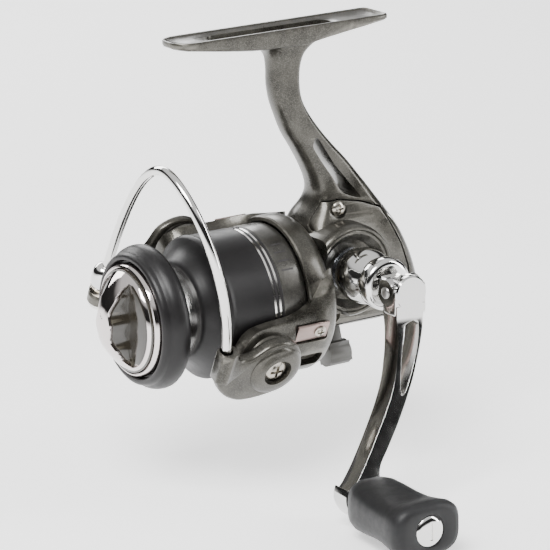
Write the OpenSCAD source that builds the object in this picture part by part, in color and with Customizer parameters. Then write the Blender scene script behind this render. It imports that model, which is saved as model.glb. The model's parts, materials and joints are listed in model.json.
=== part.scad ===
// Small spinning reel with a folding crank, front drag and wire bail.
// Drawn about the spool axis: X runs along the spool (front is -X), the crank is on the -Y side,
// +Z is up towards the rod. Every piece is then lifted so that the foot's seat is at z = 0.

/* [Foot and stem] */
// Length of the foot along the rod
foot_l = 57.5; // [52:0.5:62]
// Width of the foot
foot_w = 10.8; // [10:0.1:12]
// Height of the foot's seat above the spool axis
seat_h = 63.7; // [62:0.1:68]
// Thickness of the stem across its flat sides
stem_w = 8.4; // [7:0.1:9.5]

/* [Spool] */
// Radius of the front lip
lip_r = 17; // [16.8:0.05:17.1]
// Radius of the line arbor
arbor_r = 10.6; // [10:0.1:11.5]
// Radius of the rear skirt
skirt_r = 16.8; // [16.4:0.05:16.85]

/* [Rotor and bail] */
// Outer radius of the rotor cup
rotor_r = 18.4; // [18.3:0.05:18.8]
// Lean of the rotor arms at rest, in degrees below the horizontal on the crank side
rotor_tilt = 26.8; // [0:0.1:30]
// Radius at which the bail arms pivot
pivot_r = 23.5; // [23.4:0.05:23.7]
// Diameter of the bail wire
wire_d = 2.3; // [2:0.1:2.5]

/* [Crank] */
// Diameter of the folding head
head_d = 8.6; // [8.2:0.1:8.8]
// Radius of the grip's circle about the crank axis
throw_r = 47; // [45:0.5:48]

/* [Gears] */
// Module of the oscillation gears
osc_module = 0.5; // [0.5:0.05:0.5]
// Teeth on the drive gear
drive_teeth = 36; // [36:1:36]
// Teeth on the pinion
pinion_teeth = 7; // [7:1:7]

/* [Hidden] */
$fn = 64;
shaft_r = 1.5;
run = 0.05;                 // radial clearance of a running fit
snug = 0.03;                // clearance of a seated piece
foot_x = 35.8;              // middle of the foot, along the spool axis
foot_t = 1.6;               // thickness of the foot's tips
axle_x = 48.1;              // crank axis
axle_z = 5.5;
axle_r = 2.4;
osc_x = 57.4;               // oscillation gear's axis
osc_z = 1.8;
osc_throw = 3.25;           // eccentric radius of the oscillation pin
osc_rest = 112.6;           // angle of the pin at rest
fold_y = -32.6;             // fold pin of the crank
pivot_x = 20.1;             // bail pivots
roller_x = 1.3;             // line roller, in the rotor's own frame
roller_y = 22.5;
grip_x = axle_x - throw_r * 0.4535;
grip_z = axle_z - throw_r * 0.8912;
grip_y0 = -43.9;            // inner end of the grip
grip_l = 30;
lever_z = -7.5;             // anti-reverse lever's pivot

// ---------- shared shapes ----------

// moves a piece from the spool axis to the foot's seat
module lifted() { translate([-foot_x, 0, -seat_h]) children(); }

// a turned piece about the spool axis: profile points are [radius, x]
module turned_x(profile) { rotate([0, 90, 0]) rotate_extrude() polygon(profile); }

// a tube along X
module tube_x(x0, x1, r_out, r_in = 0) {
    translate([x0, 0, 0]) rotate([0, 90, 0]) difference() {
        cylinder(h = x1 - x0, r = r_out);
        if (r_in > 0) translate([0, 0, -1]) cylinder(h = x1 - x0 + 2, r = r_in);
    }
}

// a tube along Y, from y0 towards +Y
module tube_y(x, z, y0, y1, r_out, r_in = 0) {
    translate([x, y1, z]) rotate([90, 0, 0]) difference() {
        cylinder(h = y1 - y0, r = r_out);
        if (r_in > 0) translate([0, 0, -1]) cylinder(h = y1 - y0 + 2, r = r_in);
    }
}

// a turned piece about a line along Y: profile points are [radius, y]
module turned_y(x, z, profile) {
    translate([x, 0, z]) rotate([-90, 0, 0]) rotate_extrude() polygon(profile);
}

// a side outline [x, z] given a thickness from y0 to y1
module slab_y(y0, y1, outline) {
    translate([0, y1, 0]) rotate([90, 0, 0]) linear_extrude(y1 - y0) polygon(outline);
}

// a pan-head cross-recess screw lying along +Y from its head
module cross_screw_y(x, z, y, head_r, shank_r, length) {
    difference() {
        union() {
            tube_y(x, z, y, y + 0.9, head_r);
            tube_y(x, z, y, y + length, shank_r);
        }
        for (a = [0, 90]) translate([x, y, z]) rotate([0, a, 0])
            cube([head_r * 1.2, 1.1, head_r * 0.28], center = true);
    }
}

// the rotor's own frame, turned so that the near arm points along -Y
module on_rotor() { rotate([rotor_tilt, 0, 0]) children(); }

// ---------- frame ----------

stem_stations = [ // [z, nose x, tail x]
    [60.5, 31.5, 46], [56, 33.6, 42.2], [49, 33.9, 41.2], [43, 35.6, 43.1], [35, 39.3, 49],
    [26, 44, 57], [16, 43.5, 60.8]];
body_outline = [[40, -9.4], [45, -10], [57, -10], [63, -9.2], [66.5, -7], [68.2, -2], [67, 3.5],
    [64.6, 9.4], [61.8, 14.6], [59, 18.5], [47, 22], [44.5, 20], [42, 18], [40, 16]];

module foot_solid() {
    side = [[foot_x - foot_l / 2, seat_h], [foot_x - foot_l / 2, seat_h - foot_t], [12, 61.4],
        [20, 60.3], [27, 59.5], [31.4, 59.3], [42, 59.1], [48, 60], [54, 60.8], [59.6, 61.5],
        [foot_x + foot_l / 2, seat_h - foot_t], [foot_x + foot_l / 2, seat_h]];
    nose = foot_x - foot_l / 2 + foot_w / 2;
    tail = foot_x + foot_l / 2;
    intersection() {
        slab_y(-foot_w, foot_w, side);
        translate([0, 0, 50]) linear_extrude(20) {
            translate([nose, -foot_w / 2]) square([tail - 2 - nose, foot_w]);
            translate([nose, 0]) circle(foot_w / 2);
            translate([tail - 4, 2 - foot_w / 2]) square([4, foot_w - 4]);
            for (s = [-1, 1]) translate([tail - 2, s * (foot_w / 2 - 2)]) circle(2);
        }
    }
}

module stem_slice(station) {
    nose_r = stem_w / 2 - 0.4;
    hull() {
        translate([station[1] + nose_r, 0, station[0]]) cylinder(h = 0.1, r = nose_r, $fn = 28);
        translate([station[2] - 3, 0, station[0]]) cylinder(h = 0.1, r = 3, $fn = 28);
        translate([station[1] + nose_r + 1, -stem_w / 2, station[0]]) cube([0.5, stem_w, 0.1]);
    }
}

module stem_solid() {
    for (i = [0 : len(stem_stations) - 2]) hull() {
        stem_slice(stem_stations[i]);
        stem_slice(stem_stations[i + 1]);
    }
}

window = [[44.3, 36.8], [43.4, 34.3], [48.5, 26.3], [50.3, 22.9], [55.3, 21], [49.6, 28.3], [45.3, 35.4]];
cavity = [[41, -7.8], [45, -8.8], [57, -8.8], [62, -8], [65, -6], [66.6, -2], [65.6, 3.2],
    [63.4, 8.6], [60.6, 13.4], [57, 16.4], [47, 16.6], [41, 14.8]];

screw_spots = [[48.4, 19.3], [60.3, -4.6], [44.6, -6.2]]; // screws of the side cover

module body_frame() lifted() color("dimgray") difference() {
    union() {
        foot_solid();
        stem_solid();
        slab_y(-9.3, 9.5, body_outline);
        tube_y(axle_x, axle_z, 9.4, 11, 8);
        tube_x(31.5, 40.5, 11.6);
    }
    // seat: a long shallow channel with a deeper pocket
    translate([9.5, -4, seat_h - 0.5]) cube([52, 8, 2]);
    translate([18, -3, seat_h - 2.4]) cube([33.5, 6, 4]);
    slab_y(-20, 20, window);
    // gearbox, open on the crank side
    difference() {
        slab_y(-10, 7.8, cavity);
        translate([52.2, -2.5, -10]) cube([1.2, 5, 3.8]);
        for (p = screw_spots) {
            tube_y(p[0], p[1], -9.3, -3.4, 1.9);
            // web that joins a low boss to the wall
            if (p[1] < 0) translate([p[0] - 1.2, -9.3, -9.2]) cube([2.4, 5.9, 9.2 + p[1]]);
        }
    }
    tube_y(axle_x, axle_z, -7, -3.2, 9);
    // collar: clutch seat, bearing seat and pinion passage
    tube_x(30, 35.8, 8 + snug);
    tube_x(35.7, 39, 6.5 + snug);
    tube_x(38, 44, 4.2);
    // far axle bearing seat and screw-cap recess
    tube_y(axle_x, axle_z, 7, 9.4, 5.5 + snug);
    tube_y(osc_x, osc_z, 7.5, 8.7, 1.2 + snug);
    tube_y(axle_x, axle_z, 9.3, 12, 4.4);
    // pin of the anti-reverse lever and guide of the slider
    translate([0, 0, lever_z]) tube_x(40.2, 54, 0.6 + snug);
    translate([0, 0, -3.9]) tube_x(64, 66.8 + snug, 0.8 + snug);
    // slot for the anti-reverse lever
    translate([46.3, -3.4, -12]) cube([5.6, 6.8, 6]);
    // screw holes of the side cover
    for (p = screw_spots) tube_y(p[0], p[1], -10, -4.5, 0.8);
}

module pinion_bush() lifted() color("peru") difference() {
    union() {
        tube_x(45.6, 46.6, 3.3);
        translate([45.6, -3, -8.8]) cube([1, 6, 7]);
    }
    tube_x(45, 47, 2.3 + run);
    translate([45, 0, -3.9]) rotate([0, 90, 0]) cylinder(h = 3, r = 0.8);
    translate([45, 0, lever_z]) rotate([0, 90, 0]) cylinder(h = 3, r = 1.5);
}

module side_cover() lifted() color("dimgray") difference() {
    union() {
        slab_y(-11, -9.4, [for (p = body_outline) if (p[0] > 40.5) p]);
        tube_y(axle_x, axle_z, -13.4, -9.5, 10.9);
    }
    translate([30.7, -20, -10]) cube([10, 20, 30]);              // flat towards the rotor
    tube_y(axle_x, axle_z, -14, -12.5, 9.6);                     // outer dish
    tube_y(axle_x, axle_z, -12.1, -9, 5.5 + snug);               // bearing seat
    tube_y(axle_x, axle_z, -14, -9, 4.2);
    for (p = screw_spots) {
        tube_y(p[0], p[1], -12, -10.3, 2.1);
        tube_y(p[0], p[1], -12, -9, 0.85);
    }
}

module cover_screws() lifted() color("silver")
    for (p = screw_spots) cross_screw_y(p[0], p[1], -11.2, 2, 0.8, 5.6);

module rear_trim() lifted() color("gray") difference() {
    slab_y(-5.2, 5.2, [[60.4, 17.4], [62.4, 14.6], [65.2, 9.4], [67.6, 3.5], [68.8, -2], [67.1, -7],
        [69.6, -6.6], [71.2, -2], [69.8, 3.6], [67.2, 9.9], [64.4, 14.8], [62, 18.4]]);
    translate([60, 0, 5.5]) rotate([0, 90, 0]) cylinder(h = 20, r = 0.8);
    translate([68.2, 0, 5.5]) rotate([0, 90, 0]) cylinder(h = 5, r = 1.7);
}

module trim_screw() lifted() color("silver") translate([0, 0, 5.5]) difference() {
    union() {
        tube_x(68.3, 69.2, 1.5);
        tube_x(66.9, 68.5, 0.8);
    }
    translate([69.2, 0, 0]) cube([0.8, 2.2, 0.5], center = true);
    translate([69.2, 0, 0]) cube([0.8, 0.5, 2.2], center = true);
}

module ring_bearing(r_out, r_in, width) { // a sealed ball bearing standing on z = 0
    rotate_extrude() polygon([[r_in, 0], [r_in + 0.9, 0], [r_in + 1, 0.25], [r_out - 1, 0.25],
        [r_out - 0.9, 0], [r_out, 0], [r_out, width], [r_out - 0.9, width], [r_out - 1, width - 0.25],
        [r_in + 1, width - 0.25], [r_in + 0.9, width], [r_in, width]]);
}

module rotor_bearing() lifted() color("lightsteelblue")
    translate([36.4, 0, 0]) rotate([0, 90, 0]) ring_bearing(6.5, 2.5 + run, 2.6);

module roller_clutch() lifted() color("slategray") difference() {
    tube_x(32, 35.7, 8, 4.3);
    for (a = [0 : 45 : 359]) rotate([a, 0, 0]) translate([31, 0, 6.2]) rotate([0, 90, 0])
        cylinder(h = 3.6, r = 0.8);
}

module clutch_retainer() lifted() color("silver") tube_x(31.5, 32, 8, 5);

module axle_bearings() lifted() color("lightsteelblue") {
    translate([axle_x, -9.6, axle_z]) rotate([90, 0, 0]) ring_bearing(5.5, axle_r + run, 2.5);
    translate([axle_x, 9.3, axle_z]) rotate([90, 0, 0]) ring_bearing(5.5, axle_r + run, 2.3);
}

module slider_guide() lifted() color("silver") translate([0, 0, -3.9]) tube_x(45.6, 66.8, 0.8);

module osc_gear_post() lifted() color("silver") tube_y(osc_x, osc_z, 4.1, 8.6, 1.2);

module lever_pin() lifted() color("silver") translate([0, 0, lever_z]) tube_x(40.3, 53.2, 0.6);

module reverse_lever() lifted() color("dimgray")
    translate([0, 0, lever_z]) rotate([-18, 0, 0]) difference() {
        union() {
            tube_x(46.9, 51.3, 1.25);
            translate([47.3, -1.2, -8]) cube([3.6, 2.4, 8]);
            translate([45.9, -2.6, -12.6]) cube([6, 5.2, 4.8]);
            translate([45.9, 0, -10.2]) rotate([0, 90, 0]) cylinder(h = 6, r = 3);
        }
        tube_x(40, 60, 0.6 + run);
    }

// ---------- crank axle ----------

module drive_axle() lifted() color("silver") difference() {
    tube_y(axle_x, axle_z, -13.8, 10.2, axle_r);
    tube_y(axle_x, axle_z, -15, 11, 1.2);
}

module drive_gear() lifted() color("goldenrod") difference() {
    union() {
        tube_y(axle_x, axle_z, -6.6, -4.9, 8.6);
        tube_y(axle_x, axle_z, -9.2, -6.5, 4);
        for (i = [0 : drive_teeth - 1]) translate([axle_x, 0, axle_z]) rotate([0, i * 360 / drive_teeth, 0])
            translate([6.3, -5, -0.35]) cube([2.2, 1.4, 0.7]);
    }
    tube_y(axle_x, axle_z, -10, -3, axle_r);
}

// an involute-like spur gear standing on z = 0
module spur_gear(teeth, pitch_r, width, bore) {
    root = pitch_r - 0.62;
    tip = pitch_r + 0.42;
    half = 360 / teeth / 4;
    difference() {
        linear_extrude(width) union() {
            circle(root + 0.05);
            for (i = [0 : teeth - 1]) rotate(i * 360 / teeth) polygon([
                [(root - 0.2) * cos(half * 1.25), -(root - 0.2) * sin(half * 1.25)],
                [pitch_r * cos(half * 0.8), -pitch_r * sin(half * 0.8)],
                [tip * cos(half * 0.35), -tip * sin(half * 0.35)],
                [tip * cos(half * 0.35), tip * sin(half * 0.35)],
                [pitch_r * cos(half * 0.8), pitch_r * sin(half * 0.8)],
                [(root - 0.2) * cos(half * 1.25), (root - 0.2) * sin(half * 1.25)]]);
        }
        translate([0, 0, -1]) cylinder(h = width + 2, r = bore);
    }
}

mesh_angle = atan2(axle_z - osc_z, osc_x - axle_x); // direction from the crank axis to the gear

module osc_pinion() lifted() color("goldenrod")
    translate([axle_x, 6.2, axle_z]) rotate([90, 0, 0]) rotate(-mesh_angle) spur_gear(16, 4, 2, axle_r);

module osc_gear() lifted() color("whitesmoke") union() {
    translate([osc_x, 6.2, osc_z]) rotate([90, 0, 0]) rotate(180 - mesh_angle + 7.5)
        spur_gear(24, 6, 2, 1.2 + run);
    translate([osc_x + osc_throw * cos(osc_rest), 0, osc_z + osc_throw * sin(osc_rest)])
        tube_y(0, 0, 3.4, 4.3, 0.9);
}

module handle_collar() lifted() color("silver") difference() {
    union() {
        turned_y(axle_x, axle_z, [[0, -14], [5.6, -14], [6.2, -15.6], [6.6, -18.6], [6.2, -21],
            [5.2, -23.2], [5, -24], [6.1, -24.4], [6.1, -27.6], [5.6, -28], [0, -28]]);
        translate([axle_x - 2.2, fold_y, axle_z - 2.6]) cube([4.4, 6, 5.2]);
        translate([axle_x - 2.2, fold_y, axle_z]) rotate([0, 90, 0]) cylinder(h = 4.4, r = 2.6);
    }
    tube_y(axle_x, axle_z, -20, -13, 1.2);
    translate([axle_x - 5, fold_y, axle_z]) rotate([0, 90, 0]) cylinder(h = 10, r = 1);
}

module handle_screw() lifted() color("silver") union() {
    tube_y(axle_x, axle_z, -20, 10.4, 1.2);
    tube_y(axle_x, axle_z, 10.2, 11.4, 2.2);
}

module screw_cap() lifted() color("dimgray") difference() {
    turned_y(axle_x, axle_z, [[0, 10.5], [4, 10.5], [4, 13], [3.2, 13.8], [0, 13.8]]);
    tube_y(axle_x, axle_z, 10, 11.4, 2.2);
    for (a = [0 : 30 : 359]) translate([axle_x + 4.2 * cos(a), 0, axle_z + 4.2 * sin(a)])
        tube_y(0, 0, 11, 15, 0.45);
}

module fold_pin() lifted() color("gainsboro")
    translate([axle_x - 4.5, fold_y, axle_z]) rotate([0, 90, 0]) cylinder(h = 9, r = 1);

// ---------- crank and grip ----------

// front outline of the crank, from its head to its foot
crank_front = [[44.6, 2], [43.6, -5], [42.4, -9], [40.6, -13.6], [37.6, -18.2], [33.8, -22.7],
    [30.2, -27.2], [26.5, -32], [22, -36.4], [grip_x, grip_z], [31.6, -36.2], [31.4, -30],
    [34.9, -27.2], [39, -22.7], [42.3, -18.2], [45.7, -13.6], [48.1, -9], [50.3, -5], [51.6, 2]];
// edge-on outline [y, z], leaning outward towards the grip
crank_side = [[fold_y + 1.4, 6], [fold_y + 1.2, 0], [-34, -10], [-39, -24], [-42.4, -33], [-43.5, -45],
    [-48.3, -45], [-48.3, -36], [-44, -24], [-39.6, -10], [-37, 0], [-37, 6]];

module crank_arm() lifted() color("silver") difference() {
    union() {
        intersection() {
            union() {
                slab_y(-60, -25, crank_front);
                tube_y(grip_x, grip_z, -60, -25, 5);
            }
            rotate([90, 0, 90]) linear_extrude(120) polygon(crank_side);
        }
        tube_y(axle_x, axle_z, -37, -33, head_d / 2);
        translate([axle_x - head_d / 2, fold_y, axle_z]) rotate([0, 90, 0]) cylinder(h = head_d, r = 3.4);
        translate([axle_x - head_d / 2, -37, 0]) cube([head_d, 4.4, axle_z]);
    }
    translate([axle_x - 2.5, -35.7, axle_z - 3.2]) cube([5, 12, 12]);
    translate([axle_x - 5, fold_y, axle_z]) rotate([0, 90, 0]) cylinder(h = 10, r = 1 + run);
    slab_y(-60, -20, [[44.9, -4.5], [46.2, -2], [48, -1.6], [47.6, -6.5], [44.2, -13], [42.4, -14.8]]);
    tube_y(grip_x, grip_z, -60, -40, 1.4);
}

module grip_spindle() lifted() color("silver") difference() {
    union() {
        tube_y(grip_x, grip_z, grip_y0 - grip_l + 3, -41.4, 1.4);
        tube_y(grip_x, grip_z, -42.4, -41.4, 2.6);
    }
    tube_y(grip_x, grip_z, -80, grip_y0 - grip_l + 9, 0.7);
}

module spindle_screw() lifted() color("silver") union() {
    tube_y(grip_x, grip_z, grip_y0 - grip_l + 1.8, grip_y0 - grip_l + 3, 2.2);
    tube_y(grip_x, grip_z, grip_y0 - grip_l + 2.8, grip_y0 - grip_l + 8, 0.7);
}

module grip_section(y, w, h, r) { // a rounded rectangle standing across the spindle
    translate([grip_x, y, grip_z]) rotate([90, 0, 0]) hull()
        for (sx = [-1, 1], sz = [-1, 1]) translate([sx * (w / 2 - r), sz * (h / 2 - r), 0])
            cylinder(h = 0.1, r = r, $fn = 24);
}

module grip() lifted() color("darkslategray") difference() {
    union() {
        hull() {
            grip_section(-48.9, 9.6, 9.6, 3.4);
            grip_section(-50, 12, 11.4, 4);
            grip_section(-60, 14.6, 11.6, 4.4);
        }
        hull() {
            grip_section(-59.9, 14.6, 11.6, 4.4);
            grip_section(grip_y0 - grip_l + 2, 17.6, 12, 5);
            grip_section(grip_y0 - grip_l, 14.6, 9.6, 4);
        }
    }
    tube_y(grip_x, grip_z, grip_y0 - grip_l - 1, grip_y0 - grip_l + 1.6, 3.7);
    tube_y(grip_x, grip_z, -80, -40, 2.4);
}

module grip_bushes() lifted() color("peru") {
    tube_y(grip_x, grip_z, -51.6, -48.9, 2.4, 1.4 + run);
    tube_y(grip_x, grip_z, grip_y0 - grip_l + 3.4, grip_y0 - grip_l + 6.4, 2.4, 1.4 + run);
}

module grip_cap() lifted() color("gainsboro") difference() {
    turned_y(grip_x, grip_z, [[0, grip_y0 - grip_l + 1.4], [3.7, grip_y0 - grip_l + 1.4],
        [3.7, grip_y0 - grip_l], [3.2, grip_y0 - grip_l - 0.4], [0, grip_y0 - grip_l - 0.4]]);
    translate([grip_x, grip_y0 - grip_l - 0.3, grip_z]) cube([0.8, 0.6, 4.4], center = true);
}

// ---------- rotor ----------

// an arm of the rotor: its developed outline, thickened outward from the cup
module rotor_arm() {
    intersection() {
        slab_y(-30, 0, [[39.6, -13], [39.6, 13], [35, 13], [29, 9.6], [24, 7.6], [16, 7.6], [12.6, 4],
            [12.6, -5], [16, -8], [24, -9], [31, -12.4], [35, -13]]);
        tube_x(12, 40, 21, 17.3);
    }
    tube_y(pivot_x, 0, -22.1, -17.6, 6);
}

module rotor() lifted() color("dimgray") on_rotor() difference() {
    union() {
        turned_x([[2.5, 29.6], [13.2, 29.6], [13.2, 37.6], [17.2, 37.6], [17.2, 32.7], [18.4, 32.7],
            [18.4, 36.8], [17.9, 38.4], [16.8, 39.6], [12, 39.6], [12, 31.1], [4.6, 31.1], [2.5, 31.1]]);
        rotor_arm();
        mirror([0, 1, 0]) rotor_arm();
    }
    // bail pivots, plate recesses and the slot under the near plate
    for (s = [-1, 1]) {
        tube_y(pivot_x, 0, s > 0 ? 16.5 : -23, s > 0 ? 23 : -16.5, 1.3 + run);
        translate([31.5, s * 20.2, 5]) cube([9.4, 1.4, 5.4], center = true);
        tube_y(33.6, 5, s > 0 ? 17 : -21, s > 0 ? 21 : -17, 0.5 + snug);
    }
    tube_x(10, 37.5, 17.25, 13.2);
    tube_x(28, 45, 2.5);
}

module arm_plates() lifted() color("rosybrown") on_rotor() for (s = [-1, 1])
    difference() {
        translate([31.5, s * 19.8, 5]) cube([9, 0.6, 5], center = true);
        tube_y(33.6, 5, s > 0 ? 19 : -21, s > 0 ? 21 : -19, 0.5);
    }

module plate_screws() lifted() color("silver") on_rotor() for (s = [-1, 1])
    tube_y(33.6, 5, s > 0 ? 18.2 : -20.3, s > 0 ? 20.3 : -18.2, 0.5);

module rotor_nut() lifted() color("silver") on_rotor() difference() {
    tube_x(26.4, 29.6, 4.6, 2.5);
    for (a = [0 : 60 : 359]) rotate([a, 0, 0]) translate([26, -6, 4]) cube([4, 12, 3]);
}

module nut_lock() lifted() color("gray") on_rotor() difference() {
    tube_x(25.6, 26.4, 5.6, 2.6);
    rotate([30, 0, 0]) translate([25, 3.2, 3.2]) cube([3, 6, 6]);
}

module pinion() lifted() color("goldenrod") on_rotor() difference() {
    union() {
        tube_x(25.6, 41, 2.5);
        translate([41, 0, 0]) rotate([0, 90, 0]) spur_gear(pinion_teeth, 2.95, 4.4, 1);
        tube_x(45.3, 46.7, 2.3);
    }
    tube_x(20, 50, shaft_r + 0.1);
}

module clutch_sleeve() lifted() color("silver") on_rotor() tube_x(31.1, 36.3, 4.2, 2.5);

module bail_spring() lifted() color("silver") on_rotor() difference() {
    tube_y(pivot_x, 0, 22.2, 22.9, 4.4, 3.4);
    translate([pivot_x + 2, 22, -6]) cube([4, 2, 5]);
}

// ---------- bail ----------

module bail_arm() lifted() color("dimgray") on_rotor() difference() {
    union() {
        slab_y(-25.4, -22.4, [[13.4, 5.4], [17, 7.8], [21, 8.4], [24.6, 6.8], [26.8, 3], [27.4, -2],
            [26.6, -4.6], [24, -6.6], [19, -8], [14, -7.9], [10, -7], [8, -5.6]]);
        slab_y(-25, -21.4, [[14, 5.2], [9.6, 5.6], [9, 7.4], [3.8, 7.4], [4.1, 2], [4.8, -1],
            [6.6, -4.6], [10, -7], [14, -7.9]]);
        tube_y(pivot_x, 0, -26, -22.4, 5.4);
    }
    tube_y(pivot_x, 0, -28, -24.6, 3.2);
    tube_y(pivot_x, 0, -28, -20, 1.3);
    translate([hoop_near[0], hoop_near[1], 5]) cylinder(h = 5, r = wire_d / 2 + 0.02);
}

module bail_far_arm() lifted() color("dimgray") on_rotor() difference() {
    union() {
        slab_y(23, 25.2, [[20, 6.4], [14.5, 4.4], [12.6, 0], [9, -6], [5, -11.8], [roller_x, -11.8],
            [-0.8, -11.8], [-0.8, -14.2], [6, -14.2], [12, -10.8], [20, -6.4], [25.6, -4], [26.8, 0],
            [25.6, 4]]);
        tube_y(pivot_x, 0, 22.9, 25.6, 5.4);
        translate([roller_x, roller_y, -14.6]) cylinder(h = 2.9, r = 2.9);
    }
    tube_y(pivot_x, 0, 20, 30, 1.3);
    tube_y(pivot_x, 0, 24.6, 28, 3.2);
    tube_y(pivot_x, 0, 22, 23.4, 4.8);
    translate([roller_x, roller_y, -20]) cylinder(h = 12, r = 1);
}

// centreline of the wire in the rotor's own frame: two smooth spans that meet at the crown
hoop_near = [6.3, -22.6, 7.4];
hoop_crown = [-1.7, 2, 39.5];
hoop_far = [roller_x, roller_y, -4.6];
hoop_spans = [[hoop_near, [3.8, -21.8, 24.4], [-1, -10.5, 39.3], hoop_crown],
    [hoop_crown, [-2.3, 14, 39.6], [0.6, 20.2, 16], hoop_far]];
function bezier(p, t) = pow(1 - t, 3) * p[0] + 3 * t * pow(1 - t, 2) * p[1]
    + 3 * t * t * (1 - t) * p[2] + pow(t, 3) * p[3];
span_n = 14;
wire_path = concat([hoop_near - [0, 0, 2.4]], [for (s = [0, 1], i = [s : span_n]) bezier(hoop_spans[s], i / span_n)]);
wire_n = len(wire_path) - 1;
function unit(v) = v / norm(v);
function ring(i, r, sides) = let (
    d = unit(wire_path[min(i + 1, wire_n)] - wire_path[max(i - 1, 0)]),
    u = unit(cross(d, [1, 0, 0.001])),
    w = cross(d, u))
    [for (k = [0 : sides - 1]) wire_path[i] + r * (u * cos(k * 360 / sides) + w * sin(k * 360 / sides))];
wire_sides = 12;

module bail_wire() lifted() color("silver") on_rotor() union() {
    n = wire_sides;
    polyhedron(points = [for (i = [0 : wire_n]) each ring(i, wire_d / 2, n)], faces = concat(
        [[for (k = [0 : n - 1]) k]],
        [for (i = [0 : wire_n - 1], k = [0 : n - 1]) let (m = (k + 1) % n)
            [i * n + k, (i + 1) * n + k, (i + 1) * n + m, i * n + m]],
        [[for (k = [n - 1 : -1 : 0]) wire_n * n + k]]));
    // cone that leads the line off the wire onto the roller
    translate([roller_x, roller_y, 0]) rotate_extrude() polygon([[1, -8.9], [1, -6.5], [0, -6.5], [0, -3.8],
        [1.4, -4], [2.2, -4.8], [2.6, -6], [2.6, -8.9]]);
}

module pivot_screws() lifted() color("silver") on_rotor() {
    cross_screw_y(pivot_x, 0, -25.6, 2.6, 1.3, 8);
    mirror([0, 1, 0]) cross_screw_y(pivot_x, 0, -25.6, 2.6, 1.3, 8);
}

module roller_screw() lifted() color("silver") on_rotor() translate([roller_x, roller_y, 0]) difference() {
    union() {
        translate([0, 0, -15.5]) cylinder(h = 0.9, r = 2.2);
        translate([0, 0, -14.9]) cylinder(h = 8.4, r = 1);
    }
    translate([0, 0, -15.5]) cube([3, 0.6, 0.8], center = true);
}

module roller_bush() lifted() color("peru") on_rotor() translate([roller_x, roller_y, -11.4]) difference() {
    cylinder(h = 2.2, r = 1.7);
    translate([0, 0, -1]) cylinder(h = 4, r = 1 + run);
}

module line_roller() lifted() color("gainsboro") on_rotor() translate([roller_x, roller_y, -11.4])
    rotate_extrude() polygon([[1.7, 0], [2.6, 0], [2.6, 0.4], [2.1, 1.1], [2.6, 1.8], [2.6, 2.2], [1.7, 2.2]]);

// ---------- main shaft ----------

module main_shaft() lifted() color("silver") tube_x(-9, 59, shaft_r);

module slider() lifted() color("whitesmoke") difference() {
    translate([53.6, -2.8, -5.2]) cube([5, 5.8, 12]);
    tube_x(50, 57.8, shaft_r);
    translate([50, 0, -3.9]) rotate([0, 90, 0]) cylinder(h = 12, r = 0.8 + run);
    translate([56.15 - 1, 2, -2.2]) cube([2, 2, 8]);
    tube_x(50, 70, shaft_r);
}

module slider_screw() lifted() color("silver") difference() {
    tube_x(58.7, 59.9, 2.6);
    tube_x(50, 59, shaft_r);
    translate([60, 0, 0]) cube([1, 4, 0.6], center = true);
}

module spool_support() lifted() color("silver") tube_x(19.7, 20.7, 4.2, shaft_r);

module keyed_washers() lifted() color("silver") {
    tube_x(-2.1, -1.7, 7.6, shaft_r);
    tube_x(0.3, 0.7, 7.6, shaft_r);
    tube_x(2.7, 3.1, 7.6, shaft_r);
}

// ---------- spool ----------

module spool_core() lifted() color("silver") difference() {
    union() {
        tube_x(-3.4, 9.4, arbor_r);
        tube_x(1.6, 2.2, arbor_r + 0.7);
        tube_x(8, 19.4, 4.6);
    }
    tube_x(-4, 4.4, 8.6);
    tube_x(5.8, 10, 9.2, 4.6);
    tube_x(0, 25, shaft_r + run);
}

module spool_skirt() lifted() color("#1c1b1c") difference() {
    turned_x([[arbor_r, 7.2], [11.4, 7.4], [12.4, 8.4], [13.4, 9.8], [14.8, 11.2], [16.6, 11.9],
        [17, 12.2], [17, 12.9], [skirt_r, 13.4], [skirt_r, 26.5], [15.9, 26.5], [15.9, 14],
        [12, 12], [9.2, 9.4], [9.2, 7.2]]);
    for (x = [23.8, 25.1]) tube_x(x, x + 0.5, 18, skirt_r - 0.1);
    tube_x(7, 9.4, arbor_r);
}

module skirt_ring() lifted() color("gray") difference() {
    turned_x([[15.9, 26.5], [skirt_r + 0.05, 26.5], [skirt_r + 0.05, 32.4], [skirt_r - 0.2, 32.7], [15.9, 32.7]]);
    for (a = [-20, -12, 12, 20]) rotate([a, 0, 0]) translate([28.4, -17.2, 0]) cube([2.6, 1, 0.5], center = true);
}

module spool_lip() lifted() color("#1c1b1c") turned_x([[arbor_r, -3.4], [13.7, -3.4], [13.9, -4.7], [14.4, -4.9],
    [15.6, -4.1], [16.6, -2.6], [lip_r, -0.6], [lip_r, 0.4], [16.5, 1.4], [15.2, 1.9], [12.4, 1.6],
    [arbor_r, 1.6]]);

module click_gear() lifted() color("white") difference() {
    tube_x(18, 19.4, 7, 4.6);
    for (a = [0 : 20 : 359]) rotate([a, 0, 0]) translate([18.7, 0, 7]) rotate([0, 90, 0])
        cylinder(h = 3, r = 0.7, center = true);
}

module drag_washers() lifted() color("tan") { // felt discs with eared metal discs between
    tube_x(-1.4, -0.8, 7.9, 3);
    tube_x(-0.8, -0.4, 8.6, 3);
    tube_x(-0.4, 0, 7.9, 3);
    tube_x(1, 1.6, 7.9, 3);
    tube_x(1.6, 2, 8.6, 3);
    tube_x(2, 2.4, 7.9, 3);
    tube_x(3.4, 4.4, 7.9, 3);
}

module washer_clip() lifted() color("silver") difference() {
    tube_x(-2.9, -2.5, 8.6, 7.9);
    translate([-3, -1.5, -10]) cube([1, 3, 5]);
}

// ---------- drag knob ----------

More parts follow.
